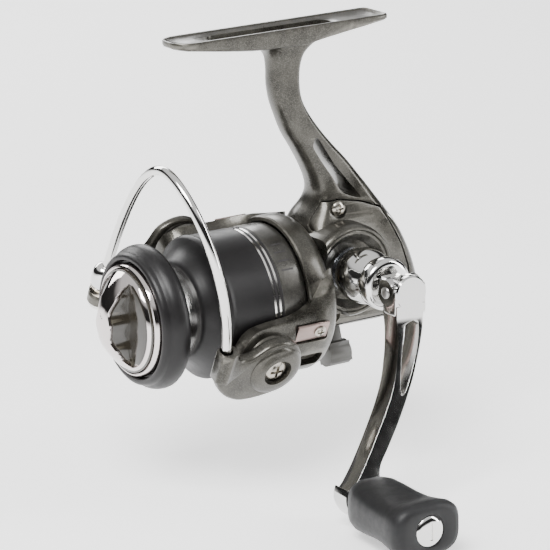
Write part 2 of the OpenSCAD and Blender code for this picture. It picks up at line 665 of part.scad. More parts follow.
module drag_knob() lifted() color("#3a3838") difference() {
    union() {
        turned_x([[0, -6.4], [12.2, -6.4], [12.2, -4.2], [9.4, -3.7], [0, -3.7]]);
        intersection() {
            rotate([0, -90, 0]) translate([0, 0, 3.7]) linear_extrude(9.3) union() {
                square([22, 6.6], center = true);
                for (i = [-1 : 1]) translate([i * 7.2, 0]) circle(4.1);
            }
            turned_x([[0, -13], [6, -12.7], [9.4, -11.4], [11.4, -9], [12.1, -6], [12.1, -3.7], [0, -3.7]]);
        }
    }
    tube_x(-5.4, -2, 5.4);
    tube_x(-10.6, -5, 3.2);
    translate([-13.2, 0, 0]) cube([1, 1.8, 4.6], center = true);
}

module knob_rim() lifted() color("gainsboro") turned_x([[12.2, -5.4], [12.6, -5.9], [13.2, -5.2],
    [13.4, -4.2], [12.9, -3.7], [12.2, -3.9]]);

module knob_nut() lifted() color("goldenrod") difference() {
    tube_x(-10.6, -8, 3.2, shaft_r + run);
    for (s = [-1, 1]) translate([-9.3, s * 3.4, 0]) cube([4, 1, 8], center = true);
}

module knob_spring() lifted() color("silver") tube_x(-8, -4.6, 2.6, 2);

module pressure_plate() lifted() color("gray") tube_x(-4.6, -3.3, 5.4, shaft_r + run);

body_frame();
side_cover();
rear_trim();
cover_screws();
trim_screw();
rotor_bearing();
roller_clutch();
clutch_retainer();
pinion_bush();
axle_bearings();
slider_guide();
osc_gear_post();
lever_pin();
reverse_lever();
drive_axle();
drive_gear();
osc_pinion();
handle_collar();
handle_screw();
screw_cap();
fold_pin();
crank_arm();
grip_spindle();
spindle_screw();
grip();
grip_cap();
grip_bushes();
rotor();
rotor_nut();
nut_lock();
pinion();
clutch_sleeve();
arm_plates();
plate_screws();
bail_spring();
bail_arm();
bail_far_arm();
bail_wire();
pivot_screws();
roller_screw();
line_roller();
roller_bush();
main_shaft();
slider();
slider_screw();
spool_support();
keyed_washers();
spool_core();
spool_skirt();
spool_lip();
skirt_ring();
click_gear();
drag_washers();
washer_clip();
drag_knob();
knob_rim();
knob_nut();
knob_spring();
pressure_plate();
osc_gear();
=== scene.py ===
import json
import math

import bmesh
import bpy
from mathutils import Matrix, Vector


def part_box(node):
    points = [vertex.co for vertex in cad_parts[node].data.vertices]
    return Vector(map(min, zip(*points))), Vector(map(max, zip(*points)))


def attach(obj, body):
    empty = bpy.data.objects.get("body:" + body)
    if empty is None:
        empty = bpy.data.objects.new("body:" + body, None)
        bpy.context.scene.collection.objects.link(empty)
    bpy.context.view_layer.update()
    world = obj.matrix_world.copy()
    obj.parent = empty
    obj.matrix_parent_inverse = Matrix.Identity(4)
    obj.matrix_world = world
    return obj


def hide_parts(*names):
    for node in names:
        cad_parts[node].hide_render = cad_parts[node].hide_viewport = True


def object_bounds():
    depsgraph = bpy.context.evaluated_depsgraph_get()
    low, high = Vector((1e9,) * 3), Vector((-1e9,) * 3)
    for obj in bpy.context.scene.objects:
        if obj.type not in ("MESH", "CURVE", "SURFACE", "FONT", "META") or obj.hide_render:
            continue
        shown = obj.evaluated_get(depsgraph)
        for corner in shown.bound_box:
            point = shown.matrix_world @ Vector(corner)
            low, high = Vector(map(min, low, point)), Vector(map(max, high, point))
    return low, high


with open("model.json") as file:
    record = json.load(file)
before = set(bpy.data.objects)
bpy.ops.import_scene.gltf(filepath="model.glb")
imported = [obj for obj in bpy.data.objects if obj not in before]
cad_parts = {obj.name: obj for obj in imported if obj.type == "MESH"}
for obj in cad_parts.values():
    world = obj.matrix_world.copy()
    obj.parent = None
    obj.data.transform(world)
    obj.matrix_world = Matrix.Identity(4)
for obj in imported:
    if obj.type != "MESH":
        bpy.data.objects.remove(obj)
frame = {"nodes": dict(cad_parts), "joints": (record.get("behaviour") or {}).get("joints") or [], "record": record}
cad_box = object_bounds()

scene = bpy.context.scene

# ---- Where the reel sits -------------------------------------------------------------------
# Shapes are drawn in millimetres about the spool axis, with x = 0 at the widest part of the
# front lip and -x forward, then settled onto the foot's seat. The rotor stands turned about
# the spool axis, as its bail pivots say.
lip_back = 1.9
shaft_low, shaft_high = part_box("main_shaft")
seat_offset = Vector((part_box("spool_lip")[1].x - lip_back / 1000, 0, (shaft_low.z + shaft_high.z) / 2))
to_row = Matrix.Translation(seat_offset) @ Matrix.Scale(0.001, 4)
joints = {j["name"]: j for j in frame["joints"]}
pivot_axis = Vector(joints["bail_swing"]["axis"])
on_rotor = Matrix.Rotation(math.atan2(-pivot_axis.z, -pivot_axis.y), 4, "X")


def reel_point(name):
    """A joint's point, in millimetres about the spool axis."""
    return to_row.inverted() @ Vector(joints[name]["pos_m"])


axle = reel_point("crank_turn")
grip_axis = reel_point("grip_turn")

# ---- Camera --------------------------------------------------------------------------------
# A long lens in front of the crank side, a little above the spool and rolled by a degree.
aim = to_row @ Vector((34.5, 0, 3.9))
azimuth, elevation, roll = math.radians(-32.1), math.radians(16.1), math.radians(-1.4)
distance = 0.75
view_width = 0.130
back = Vector((math.sin(azimuth) * math.cos(elevation), -math.cos(azimuth) * math.cos(elevation),
               math.sin(elevation)))
right = Vector((math.cos(azimuth), math.sin(azimuth), 0))
upward = back.cross(right)
right, upward = (right * math.cos(roll) + upward * math.sin(roll),
                 upward * math.cos(roll) - right * math.sin(roll))
camera_data = bpy.data.cameras.new("camera")
camera_data.lens = camera_data.sensor_width * distance / view_width
camera = bpy.data.objects.new("camera", camera_data)
camera.matrix_world = Matrix.Translation(aim + back * distance) @ Matrix(
    (right, upward, back)).transposed().to_4x4()
scene.collection.objects.link(camera)
scene.camera = camera

# ---- Studio --------------------------------------------------------------------------------
# A pale floor under the reel, a bright room for the chrome to mirror, and three soft lights.
floor_mesh = bpy.data.meshes.new("floor")
bm = bmesh.new()
bmesh.ops.create_grid(bm, x_segments=1, y_segments=1, size=6)
bmesh.ops.translate(bm, verts=bm.verts, vec=(0, 0, cad_box[0].z - 0.0015))
bm.to_mesh(floor_mesh)
bm.free()
floor = bpy.data.objects.new("floor", floor_mesh)
scene.collection.objects.link(floor)
floor_paint = bpy.data.materials.new("floor_paint")
floor_paint.use_nodes = True
floor_shader = floor_paint.node_tree.nodes["Principled BSDF"]
floor_shader.inputs["Base Color"].default_value = (0.93, 0.93, 0.93, 1)
floor_shader.inputs["Roughness"].default_value = 0.8
floor_shader.inputs["Emission Color"].default_value = (1, 1, 1, 1)
floor_shader.inputs["Emission Strength"].default_value = 0.8
floor_mesh.materials.append(floor_paint)

world = bpy.data.worlds.new("studio")
scene.world = world
world.use_nodes = True
room = world.node_tree
room_light = room.nodes["Background"]
room_light.inputs["Strength"].default_value = 1.0
place = room.nodes.new("ShaderNodeTexCoord")
heights = room.nodes.new("ShaderNodeSeparateXYZ")
shades = room.nodes.new("ShaderNodeValToRGB")
room.links.new(place.outputs["Generated"], heights.inputs[0])
room.links.new(heights.outputs["Z"], shades.inputs[0])
room.links.new(shades.outputs[0], room_light.inputs["Color"])
ramp = shades.color_ramp
ramp.elements[0].position, ramp.elements[0].color = 0.0, (0.95, 0.95, 0.95, 1)
ramp.elements[1].position, ramp.elements[1].color = 1.0, (1.0, 1.0, 1.0, 1)
for at, level in ((0.04, 0.35), (0.08, 0.02), (0.45, 0.04), (0.6, 0.9)):
    stop = ramp.elements.new(at)
    stop.color = (level, level, level, 1)


def softbox(name, offset, size, power, colour=(1, 1, 1)):
    """A rectangular light aimed at the reel from an offset in metres."""
    data = bpy.data.lights.new(name, "AREA")
    data.shape = "RECTANGLE"
    data.size, data.size_y = size
    data.energy = power
    data.color = colour
    lamp = bpy.data.objects.new(name, data)
    lamp.location = aim + Vector(offset)
    lamp.rotation_euler = (-Vector(offset)).to_track_quat("-Z", "Y").to_euler()
    scene.collection.objects.link(lamp)


softbox("key_light", (-0.35, -0.25, 0.55), (0.4, 0.3), 8.0)
softbox("side_light", (0.6, -0.45, 0.25), (0.18, 0.6), 4.0)
softbox("back_light", (0.1, 0.7, 0.35), (0.7, 0.3), 5.0)

# ---- Body ----------------------------------------------------------------------------------
# One casting in gunmetal paint with a fine metal flake: the gearbox, the stem that rises from
# it with a window through its back, and the foot that is clamped to the rod.


def shader_group(name, inputs, outputs):
    """An empty node group with these named sockets."""
    group = bpy.data.node_groups.new(name, "ShaderNodeTree")
    for label, kind, value in inputs:
        socket = group.interface.new_socket(name=label, in_out="INPUT", socket_type=kind)
        socket.default_value = value
    for label, kind in outputs:
        group.interface.new_socket(name=label, in_out="OUTPUT", socket_type=kind)
    return group, group.nodes.new("NodeGroupInput"), group.nodes.new("NodeGroupOutput")


def make_flake_group():
    """Paint that varies slowly in tone, with fine bright flakes that also tip the normal."""
    group, given, result = shader_group(
        "metal_flake",
        [("Dark", "NodeSocketColor", (0.1, 0.1, 0.1, 1)), ("Light", "NodeSocketColor", (0.3, 0.3, 0.3, 1)),
         ("Flake Size", "NodeSocketFloat", 6500.0), ("Flakes", "NodeSocketFloat", 0.5),
         ("Roughness", "NodeSocketFloat", 0.35)],
        [("Color", "NodeSocketColor"), ("Roughness", "NodeSocketFloat"), ("Height", "NodeSocketFloat")])
    nodes, links = group.nodes, group.links
    where = nodes.new("ShaderNodeTexCoord")
    cloud = nodes.new("ShaderNodeTexNoise")
    cloud.inputs["Scale"].default_value = 180
    cloud.inputs["Detail"].default_value = 5
    flakes = nodes.new("ShaderNodeTexVoronoi")
    cloud_ramp = nodes.new("ShaderNodeMapRange")
    cloud_ramp.inputs["From Min"].default_value = 0.35
    cloud_ramp.inputs["From Max"].default_value = 0.65
    spark = nodes.new("ShaderNodeMath")
    spark.operation = "POWER"
    spark.inputs[1].default_value = 3.0
    amount = nodes.new("ShaderNodeMath")
    amount.operation = "MULTIPLY"
    base = nodes.new("ShaderNodeMix")
    base.data_type = "RGBA"
    lit = nodes.new("ShaderNodeMix")
    lit.data_type = "RGBA"
    share = nodes.new("ShaderNodeMath")
    share.operation = "MULTIPLY"
    share.inputs[1].default_value = 0.35
    rough = nodes.new("ShaderNodeMath")
    rough.operation = "MULTIPLY_ADD"
    rough.inputs[1].default_value = 0.12
    links.new(where.outputs["Object"], cloud.inputs["Vector"])
    links.new(where.outputs["Object"], flakes.inputs["Vector"])
    links.new(given.outputs["Flake Size"], flakes.inputs["Scale"])
    links.new(cloud.outputs["Fac"], cloud_ramp.inputs["Value"])
    links.new(cloud_ramp.outputs[0], share.inputs[0])
    links.new(share.outputs[0], base.inputs[0])
    links.new(given.outputs["Dark"], base.inputs[6])
    links.new(given.outputs["Light"], base.inputs[7])
    colour_parts = nodes.new("ShaderNodeSeparateColor")
    links.new(flakes.outputs["Color"], colour_parts.inputs[0])
    links.new(colour_parts.outputs[0], spark.inputs[0])
    links.new(spark.outputs[0], amount.inputs[0])
    links.new(given.outputs["Flakes"], amount.inputs[1])
    links.new(amount.outputs[0], lit.inputs[0])
    links.new(base.outputs[2], lit.inputs[6])
    links.new(given.outputs["Light"], lit.inputs[7])
    links.new(lit.outputs[2], result.inputs["Color"])
    links.new(cloud_ramp.outputs[0], rough.inputs[0])
    links.new(given.outputs["Roughness"], rough.inputs[2])
    links.new(rough.outputs[0], result.inputs["Roughness"])
    links.new(colour_parts.outputs[1], result.inputs["Height"])
    return group


flake_group = make_flake_group()


def make_edge_group():
    """A mask that is 1 along the outer edges, for a painted highlight where paint and plating catch the light, and
    for wear.
    """
    group, given, result = shader_group(
        "edge_highlight_and_wear", [("Start", "NodeSocketFloat", 0.53), ("End", "NodeSocketFloat", 0.6)],
        [("Edge", "NodeSocketFloat")])
    nodes, links = group.nodes, group.links
    shape = nodes.new("ShaderNodeNewGeometry")
    where = nodes.new("ShaderNodeTexCoord")
    breakup = nodes.new("ShaderNodeTexNoise")
    breakup.inputs["Scale"].default_value = 900
    fade = nodes.new("ShaderNodeMapRange")
    patchy = nodes.new("ShaderNodeMath")
    patchy.operation = "MULTIPLY"
    links.new(where.outputs["Object"], breakup.inputs["Vector"])
    links.new(shape.outputs["Pointiness"], fade.inputs["Value"])
    links.new(given.outputs["Start"], fade.inputs["From Min"])
    links.new(given.outputs["End"], fade.inputs["From Max"])
    links.new(fade.outputs[0], patchy.inputs[0])
    links.new(breakup.outputs["Fac"], patchy.inputs[1])
    links.new(patchy.outputs[0], result.inputs["Edge"])
    return group


edge_group = make_edge_group()


def use_group(material, group, **values):
    """Places a node group in a material and sets its inputs by name, with _ for a space."""
    node = material.node_tree.nodes.new("ShaderNodeGroup")
    node.node_tree = group
    for label, value in values.items():
        node.inputs[label.replace("_", " ")].default_value = value
    return node


def plain(name, colour, metallic=0.0, roughness=0.4, coat=0.0, coat_roughness=0.1):
    """A material with one Principled shader, returned with its tree and shader."""
    material = bpy.data.materials.new(name)
    material.use_nodes = True
    shader = material.node_tree.nodes["Principled BSDF"]
    shader.inputs["Base Color"].default_value = (*colour, 1)
    shader.inputs["Metallic"].default_value = metallic
    shader.inputs["Roughness"].default_value = roughness
    shader.inputs["Coat Weight"].default_value = coat
    shader.inputs["Coat Roughness"].default_value = coat_roughness
    return material, material.node_tree, shader


def bumped(tree, shader, height, distance, strength=1.0):
    """Feeds a height output into the shader's normal."""
    bump = tree.nodes.new("ShaderNodeBump")
    bump.inputs["Distance"].default_value = distance
    bump.inputs["Strength"].default_value = strength
    tree.links.new(height, bump.inputs["Height"])
    tree.links.new(bump.outputs[0], shader.inputs["Normal"])


def flake_paint(name, dark, light, roughness=0.34, flakes=0.55, metallic=0.75):
    material, tree, shader = plain(name, dark, metallic=metallic, roughness=roughness, coat=0.35,
                                   coat_roughness=0.16)
    flake = use_group(material, flake_group, Dark=(*dark, 1), Light=(*light, 1), Flakes=flakes,
                      Roughness=roughness)
    edge = use_group(material, edge_group)
    # Outer edges get a lighter colour from the edge mask: a painted edge highlight, mixed with wear.
    worn_and_highlit = tree.nodes.new("ShaderNodeMix")
    worn_and_highlit.data_type = "RGBA"
    worn_and_highlit.inputs[7].default_value = (*[min(1, c * 1.35) for c in light], 1)
    tree.links.new(edge.outputs["Edge"], worn_and_highlit.inputs[0])
    tree.links.new(flake.outputs["Color"], worn_and_highlit.inputs[6])
    tree.links.new(worn_and_highlit.outputs[2], shader.inputs["Base Color"])
    tree.links.new(flake.outputs["Roughness"], shader.inputs["Roughness"])
    bumped(tree, shader, flake.outputs["Height"], 0.000003, 0.35)
    return material


gunmetal = flake_paint("gunmetal_paint", (0.022, 0.0205, 0.016), (0.135, 0.128, 0.11), 0.27)


def piece(name, bm, body, material, turn=None, corner=38):
    """Settles a mesh drawn about the spool axis and hands it to its CAD body."""
    if turn is not None:
        bmesh.ops.transform(bm, matrix=turn, verts=bm.verts)
    bmesh.ops.transform(bm, matrix=to_row, verts=bm.verts)
    mesh = bpy.data.meshes.new(name)
    bm.to_mesh(mesh)
    bm.free()
    mesh.shade_smooth()
    mesh.set_sharp_from_angle(angle=math.radians(corner))
    made = bpy.data.objects.new(name, mesh)
    scene.collection.objects.link(made)
    mesh.materials.append(material)
    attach(made, body)
    return made


def soften(bm, width, segments=2, sharper=30, where=None):
    """Rounds every edge that is sharper than an angle."""
    edges = [e for e in bm.edges if len(e.link_faces) == 2
             and e.calc_face_angle(0) > math.radians(sharper) and (where is None or where(e))]
    bmesh.ops.bevel(bm, geom=edges, offset=width, offset_type="OFFSET", affect="EDGES",
                    segments=segments, profile=0.5, material=-1, clamp_overlap=True)


def smooth_line(points, steps=6, closed=False):
    """A smooth line through points, by Catmull and Rom's rule."""
    points = [Vector(p) for p in points]
    count = len(points)
    spans = count if closed else count - 1
    line = []
    for i in range(spans):
        if closed:
            p0, p1, p2, p3 = (points[(i + k) % count] for k in (-1, 0, 1, 2))
        else:
            p0, p1, p2, p3 = (points[max(0, min(count - 1, i + k))] for k in (-1, 0, 1, 2))
        for k in range(steps):
            t = k / steps
            line.append(0.5 * (2 * p1 + (p2 - p0) * t + (2 * p0 - 5 * p1 + 4 * p2 - p3) * t * t
                               + (3 * p1 - p0 - 3 * p2 + p3) * t ** 3))
    if not closed:
        line.append(points[-1])
    return line


def value_at(stations, z):
    """The station values at height z, between the given ones, along smooth lines."""
    for low, high in zip(stations, stations[1:]):
        if (low[0] - z) * (high[0] - z) <= 0:
            t = (z - low[0]) / (high[0] - low[0])
            return [a + (b - a) * t for a, b in zip(low, high)]
    return list(stations[-1])


# height, nose, tail, half width, length of the rounded nose, length of the rounded tail
body_stations = [
    (60.6, 28.5, 48.5, 5.2, 6.0, 5.0), (59.0, 31.6, 44.9, 4.7, 5.4, 3.2),
    (57.0, 33.4, 42.4, 4.35, 5.0, 2.2), (54.0, 33.9, 41.2, 4.2, 4.8, 1.8),
    (50.0, 33.9, 40.9, 4.2, 4.7, 1.7), (46.0, 34.6, 41.5, 4.2, 4.4, 1.7),
    (42.0, 36.0, 43.6, 4.2, 4.2, 1.8), (38.0, 37.7, 46.5, 4.2, 3.4, 2.0),
    (34.0, 40.1, 49.9, 4.2, 3.0, 2.2), (30.0, 42.3, 53.6, 4.25, 2.8, 2.4),
    (26.0, 44.1, 56.8, 4.5, 2.6, 2.6), (22.8, 44.7, 59.2, 5.2, 2.8, 2.9),
    (19.8, 43.7, 61.2, 6.4, 3.0, 3.2), (16.8, 41.5, 63.2, 7.8, 3.2, 3.4),
    (13.0, 40.3, 65.6, 9.0, 2.4, 3.6), (8.0, 40.1, 68.0, 9.6, 1.6, 3.8),
    (3.0, 40.1, 69.9, 9.7, 1.4, 4.0), (-2.0, 40.1, 71.0, 9.6, 1.4, 4.0),
    (-6.0, 40.5, 70.4, 9.2, 1.8, 3.8), (-8.6, 41.8, 67.6, 8.0, 2.6, 3.6),
    (-9.9, 44.0, 62.0, 5.6, 3.4, 3.4)]


def body_loft(grow=0.0):
    """The casting from foot to gearbox floor, as rings joined one to the next."""
    bm = bmesh.new()
    rings = []
    line = smooth_line([Vector(s[:3]) for s in body_stations], 3)
    sizes = smooth_line([Vector(s[3:6]) for s in body_stations], 3)
    for (z, nose, tail), (half, nose_l, tail_l) in zip(line, sizes):
        ring = bmesh.ops.create_circle(bm, segments=56, radius=1, cap_ends=False)["verts"]
        for v in ring:
            c, s = v.co.x, v.co.y
            front = c < -1e-6
            reach = nose_l if front else tail_l
            x = (nose + nose_l if front else tail - tail_l) + reach * c
            width = half * (0.95 if front else 1.0) * math.copysign(abs(s) ** (0.8 if front else 0.62), s)
            v.co = (x + grow * c, width + grow * s, z)
        rings.append(ring)
    for upper, lower in zip(rings, rings[1:]):
        edges = [e for ring in (upper, lower) for e in {e for v in ring for e in v.link_edges
                 if e.other_vert(v) in ring}]
        bmesh.ops.bridge_loops(bm, edges=list(set(edges)))
    for ring in (rings[0], rings[-1]):
        bmesh.ops.contextual_create(bm, geom=ring)
    bmesh.ops.recalc_face_normals(bm, faces=bm.faces)
    return bm


def slab(outline, y0, y1, holes=()):
    """A flat piece: an outline in x and z, with holes, given a thickness from y0 to y1."""
    bm = bmesh.new()
    edges = []
    for ring in (outline, *holes):
        verts = [bm.verts.new((p[0], y0, p[1])) for p in ring]
        edges += [bm.edges.new(pair) for pair in zip(verts, verts[1:] + verts[:1])]
    if holes:
        bmesh.ops.triangle_fill(bm, edges=edges, use_beauty=True, use_dissolve=True)
    else:
        bmesh.ops.contextual_create(bm, geom=edges)
    grown = bmesh.ops.extrude_face_region(bm, geom=list(bm.faces))["geom"]
    bmesh.ops.translate(bm, verts=[g for g in grown if isinstance(g, bmesh.types.BMVert)],
                        vec=(0, y1 - y0, 0))
    bmesh.ops.recalc_face_normals(bm, faces=bm.faces)
    return bm


def turned(profile, steps=96, axis="X", at=(0, 0, 0)):
    """A turned piece: a profile of (place along the axis, radius) spun a full turn."""
    bm = bmesh.new()
    verts = [bm.verts.new((a, 0, r)) for a, r in profile]
    edges = [bm.edges.new(pair) for pair in zip(verts, verts[1:])]
    if profile[0][1] > 1e-6 or profile[-1][1] > 1e-6:
        edges.append(bm.edges.new((verts[-1], verts[0])))
    bmesh.ops.spin(bm, geom=verts + edges, cent=(0, 0, 0), axis=(1, 0, 0), dvec=(0, 0, 0),
                   angle=2 * math.pi, steps=steps, use_merge=True)
    bmesh.ops.remove_doubles(bm, verts=bm.verts, dist=1e-4)
    bmesh.ops.recalc_face_normals(bm, faces=bm.faces)
    swing = {"X": Matrix.Identity(4), "Y": Matrix.Rotation(math.radians(90), 4, "Z"),
             "Z": Matrix.Rotation(math.radians(-90), 4, "Y")}[axis]
    bmesh.ops.transform(bm, matrix=Matrix.Translation(at) @ swing, verts=bm.verts)
    return bm


def joined(*parts):
    """Several meshes as one."""
    whole = bmesh.new()
    for part in parts:
        carrier = bpy.data.meshes.new("carrier")
        part.to_mesh(carrier)
        part.free()
        whole.from_mesh(carrier)
        bpy.data.meshes.remove(carrier)
    return whole


def carved(base, tool, how="DIFFERENCE"):
    """base with tool cut away, added or kept in common, as one clean solid."""
    made = []
    for part in (base, tool):
        mesh = bpy.data.meshes.new("carving")
        part.to_mesh(mesh)
        part.free()
        ob = bpy.data.objects.new("carving", mesh)
        scene.collection.objects.link(ob)
        made.append(ob)
    cut = made[0].modifiers.new("cut", "BOOLEAN")
    cut.operation = how
    cut.solver = "EXACT"
    cut.object = made[1]
    result = bmesh.new()
    result.from_object(made[0], bpy.context.evaluated_depsgraph_get())
    for ob in made:
        mesh = ob.data
        bpy.data.objects.remove(ob)
        bpy.data.meshes.remove(mesh)
    bmesh.ops.remove_doubles(result, verts=result.verts, dist=0.002)
    return result


# foot: a long blade with a hollowed top; place along the rod, half width, lowest point
seat = 63.7  # height of the foot's seat above the spool axis
foot_front, foot_back = 7.05, 64.55  # the foot's two tips along the rod
foot_blade = [(foot_front, 1.6, 62.6), (foot_front + 0.5, 3.0, 62.2), (foot_front + 1.6, 4.3, 61.95),
              (foot_front + 3.4, 5.2, 61.6), (foot_front + 5.6, 5.4, 61.3), (20, 5.4, 60.3), (27, 5.4, 59.5),
              (31.4, 5.4, 59.2), (42, 5.4, 59.1), (48, 5.4, 60.0), (54, 5.4, 60.8), (59.6, 5.4, 61.5),
              (foot_back - 1.4, 5.4, 62.0), (foot_back - 0.5, 5.1, 62.2), (foot_back, 4.3, 62.5)]


def foot():
    bm = bmesh.new()
    rings = []
    for x, half, low in foot_blade:
        hollow = 0.95 * min(1.0, (half / 5.4) ** 3) if foot_front + 1.5 < x < foot_back - 0.3 else 0.0
        section = [(-half, seat - 0.25), (-half + 0.25, seat), (-half * 0.86, seat),
                   (-half * 0.82, seat - hollow * 0.35), (-half * 0.4, seat - hollow * 0.8),
                   (0, seat - hollow), (half * 0.4, seat - hollow * 0.8),
                   (half * 0.82, seat - hollow * 0.35), (half * 0.86, seat), (half - 0.25, seat),
                   (half, seat - 0.25), (half, low + (seat - low) * 0.42), (half * 0.93, low + 0.35),
                   (half * 0.75, low), (-half * 0.75, low), (-half * 0.93, low + 0.35),
                   (-half, low + (seat - low) * 0.42)]
        rings.append([bm.verts.new((x, y, z)) for y, z in section])
        for pair in zip(rings[-1], rings[-1][1:] + rings[-1][:1]):
            bm.edges.new(pair)
    for near, far in zip(rings, rings[1:]):
        for i in range(len(near)):
            k = (i + 1) % len(near)
            bm.faces.new((near[i], near[k], far[k], far[i]))
    for ring in (rings[0], rings[-1]):
        bmesh.ops.contextual_create(bm, geom=ring)
    bmesh.ops.recalc_face_normals(bm, faces=bm.faces)
    return bm


def long_slot(x0, x1, half, z0, z1):
    """A slot with round ends, to cut into the seat."""
    bm = bmesh.new()
    ring = bmesh.ops.create_circle(bm, segments=24, radius=half, cap_ends=True)["verts"]
    for v in ring:
        v.co = (v.co.x + (x1 - half if v.co.x > 0 else x0 + half), v.co.y, z0)
    grown = bmesh.ops.extrude_face_region(bm, geom=list(bm.faces))["geom"]
    bmesh.ops.translate(bm, verts=[g for g in grown if isinstance(g, bmesh.types.BMVert)],
                        vec=(0, 0, z1 - z0))
    bmesh.ops.recalc_face_normals(bm, faces=bm.faces)
    return bm


window = smooth_line([(44.4, 36.6, 0), (43.5, 35.2, 0), (43.7, 33.8, 0), (46.2, 29.8, 0), (48.6, 26.2, 0),
                      (50.1, 23.3, 0), (51.2, 22.2, 0), (54.3, 20.9, 0), (55.2, 21.3, 0), (52.6, 25.0, 0),
                      (49.2, 29.4, 0), (46.2, 34.2, 0)], 3, closed=True)
casting = carved(body_loft(), foot(), "UNION")
casting = carved(casting, slab(window, -20, 20))
casting = carved(casting, long_slot(17.9, 51.5, 2.5, seat - 2.6, seat + 1))
cover_cut = slab([(41.4, 20.5), (44.1, 21.2), (49, 21.4), (55.1, 20.2), (60.2, 18.3), (61.9, 14.4),
                  (64.4, 8.9), (66.2, 3.3), (66.8, -2), (65.8, -6.2), (63.0, -8.7), (45, -9.1),
                  (41.4, -8.3)], -30, -3.9)
casting = carved(casting, cover_cut)
casting = carved(casting, slab([(60.5, 18.2), (62.3, 14.3), (64.8, 8.9), (66.6, 3.2), (67.3, -2),
                                (66.4, -7.2), (90, -7.2), (90, 18.2)], -7.8, 7.8))
soften(casting, 0.22, 2, 34)
body = piece("casting", casting, "frame", gunmetal)
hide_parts("body_frame")

# ---- Crank-side cover ----------------------------------------------------------------------
# The lid of the gearbox, cast and painted like the body, held on by screws in deep recesses.
# A round boss with a double groove and a dark dish surrounds the crank.


def boxed(low, high):
    """A plain block between two corners."""
    bm = bmesh.new()
    bmesh.ops.create_cube(bm, size=1)
    for v in bm.verts:
        v.co = [lo if c < 0 else hi for c, lo, hi in zip(v.co, low, high)]
    return bm


cover_edge = [(41.8, 20.0), (44.3, 20.8), (49, 21.0), (55, 19.8), (59.9, 17.9), (61.5, 14.2), (64.0, 8.8),
              (65.8, 3.2), (66.4, -2), (65.4, -6.0), (62.8, -8.3), (45, -8.7), (41.8, -7.9)]
screw_places = [(48.4, 19.3), (60.3, -4.6), (44.6, -6.2)]
screw_depths = [-6.3, -7.6, -6.4]
lid = carved(body_loft(), slab(cover_edge, -30, -4.2), "INTERSECT")
boss = turned([(-4.5, 0), (-4.5, 11.2), (-11.4, 11.2), (-12.8, 10.9), (-13.3, 10.5), (-13.35, 10.0),
               (-13.0, 9.8), (-13.3, 9.5), (-13.2, 9.0), (-12.4, 8.4), (-11.2, 7.2), (-10.9, 5.6),
               (-10.9, 0)],
              axis="Y", at=(axle.x, 0, axle.z))
lid = carved(lid, carved(boss, boxed((30, -30, -20), (40.6, 10, 30))), "UNION")
for (x, z), depth in zip(screw_places, screw_depths):
    lid = carved(lid, turned([(-20, 0), (-20, 2.35), (depth, 2.35), (depth, 0)], 40, "Y", (x, 0, z)))
soften(lid, 0.25, 2, 34)
cover = piece("cover", lid, "frame", gunmetal)
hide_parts("side_cover")

# ---- Cover screws --------------------------------------------------------------------------
# Small pan-head screws in bright zinc, each with a cross recess, sunk in the cover.


def cross_head(radius, height, reach):
    """A pan-head screw facing -Y with its head's underside at y = 0."""
    bm = turned([(reach, 0), (reach, radius * 0.35), (0, radius * 0.35), (0, radius),
                 (-height * 0.45, radius), (-height * 0.8, radius * 0.82), (-height, radius * 0.45),
                 (-height * 1.03, 0)], 40, "Y")
    for tip, side in ((0.62, 0.13), (0.13, 0.62)):
        bm = carved(bm, boxed((-radius * tip, -height * 2, -radius * side),
                              (radius * tip, -height * 0.35, radius * side)))
    return bm


def moved(bm, offset):
    bmesh.ops.translate(bm, verts=bm.verts, vec=offset)
    return bm


def make_smudge_group():
    """Faint patches that a polished or turned surface picks up: a value from 0 to 1."""
    group, given, result = shader_group(
        "smudges", [("Scale", "NodeSocketFloat", 260.0), ("Low", "NodeSocketFloat", 0.0),
                    ("High", "NodeSocketFloat", 1.0)], [("Value", "NodeSocketFloat")])
    nodes, links = group.nodes, group.links
    where = nodes.new("ShaderNodeTexCoord")
    cloud = nodes.new("ShaderNodeTexNoise")
    cloud.inputs["Detail"].default_value = 6
    cloud.inputs["Roughness"].default_value = 0.62
    spread = nodes.new("ShaderNodeMapRange")
    spread.inputs["From Min"].default_value = 0.3
    spread.inputs["From Max"].default_value = 0.7
    links.new(where.outputs["Object"], cloud.inputs["Vector"])
    links.new(given.outputs["Scale"], cloud.inputs["Scale"])
    links.new(cloud.outputs["Fac"], spread.inputs["Value"])
    links.new(given.outputs["Low"], spread.inputs["To Min"])
    links.new(given.outputs["High"], spread.inputs["To Max"])
    links.new(spread.outputs[0], result.inputs["Value"])
    return group


smudge_group = make_smudge_group()


def metal(name, colour, low, high, scale=260.0, grain=0.0):
    """Bare or plated metal whose roughness drifts from low to high, with a faint grain."""
    material, tree, shader = plain(name, colour, metallic=1.0)
    smudge = use_group(material, smudge_group, Scale=scale, Low=low, High=high)
    tree.links.new(smudge.outputs["Value"], shader.inputs["Roughness"])
    if grain:
        fine = use_group(material, smudge_group, Scale=scale * 14)
        bumped(tree, shader, fine.outputs["Value"], 0.000004, grain)
    return material


zinc = metal("zinc_screw", (0.4, 0.375, 0.33), 0.16, 0.34, 900, 0.35)
screws = joined(*[moved(cross_head(1.75, 1.0, 3), (x, depth - 0.1, z))
                  for (x, z), depth in zip(screw_places, screw_depths)])
cover_screws = piece("cover_screw_heads", screws, "frame", zinc)
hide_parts("cover_screws")

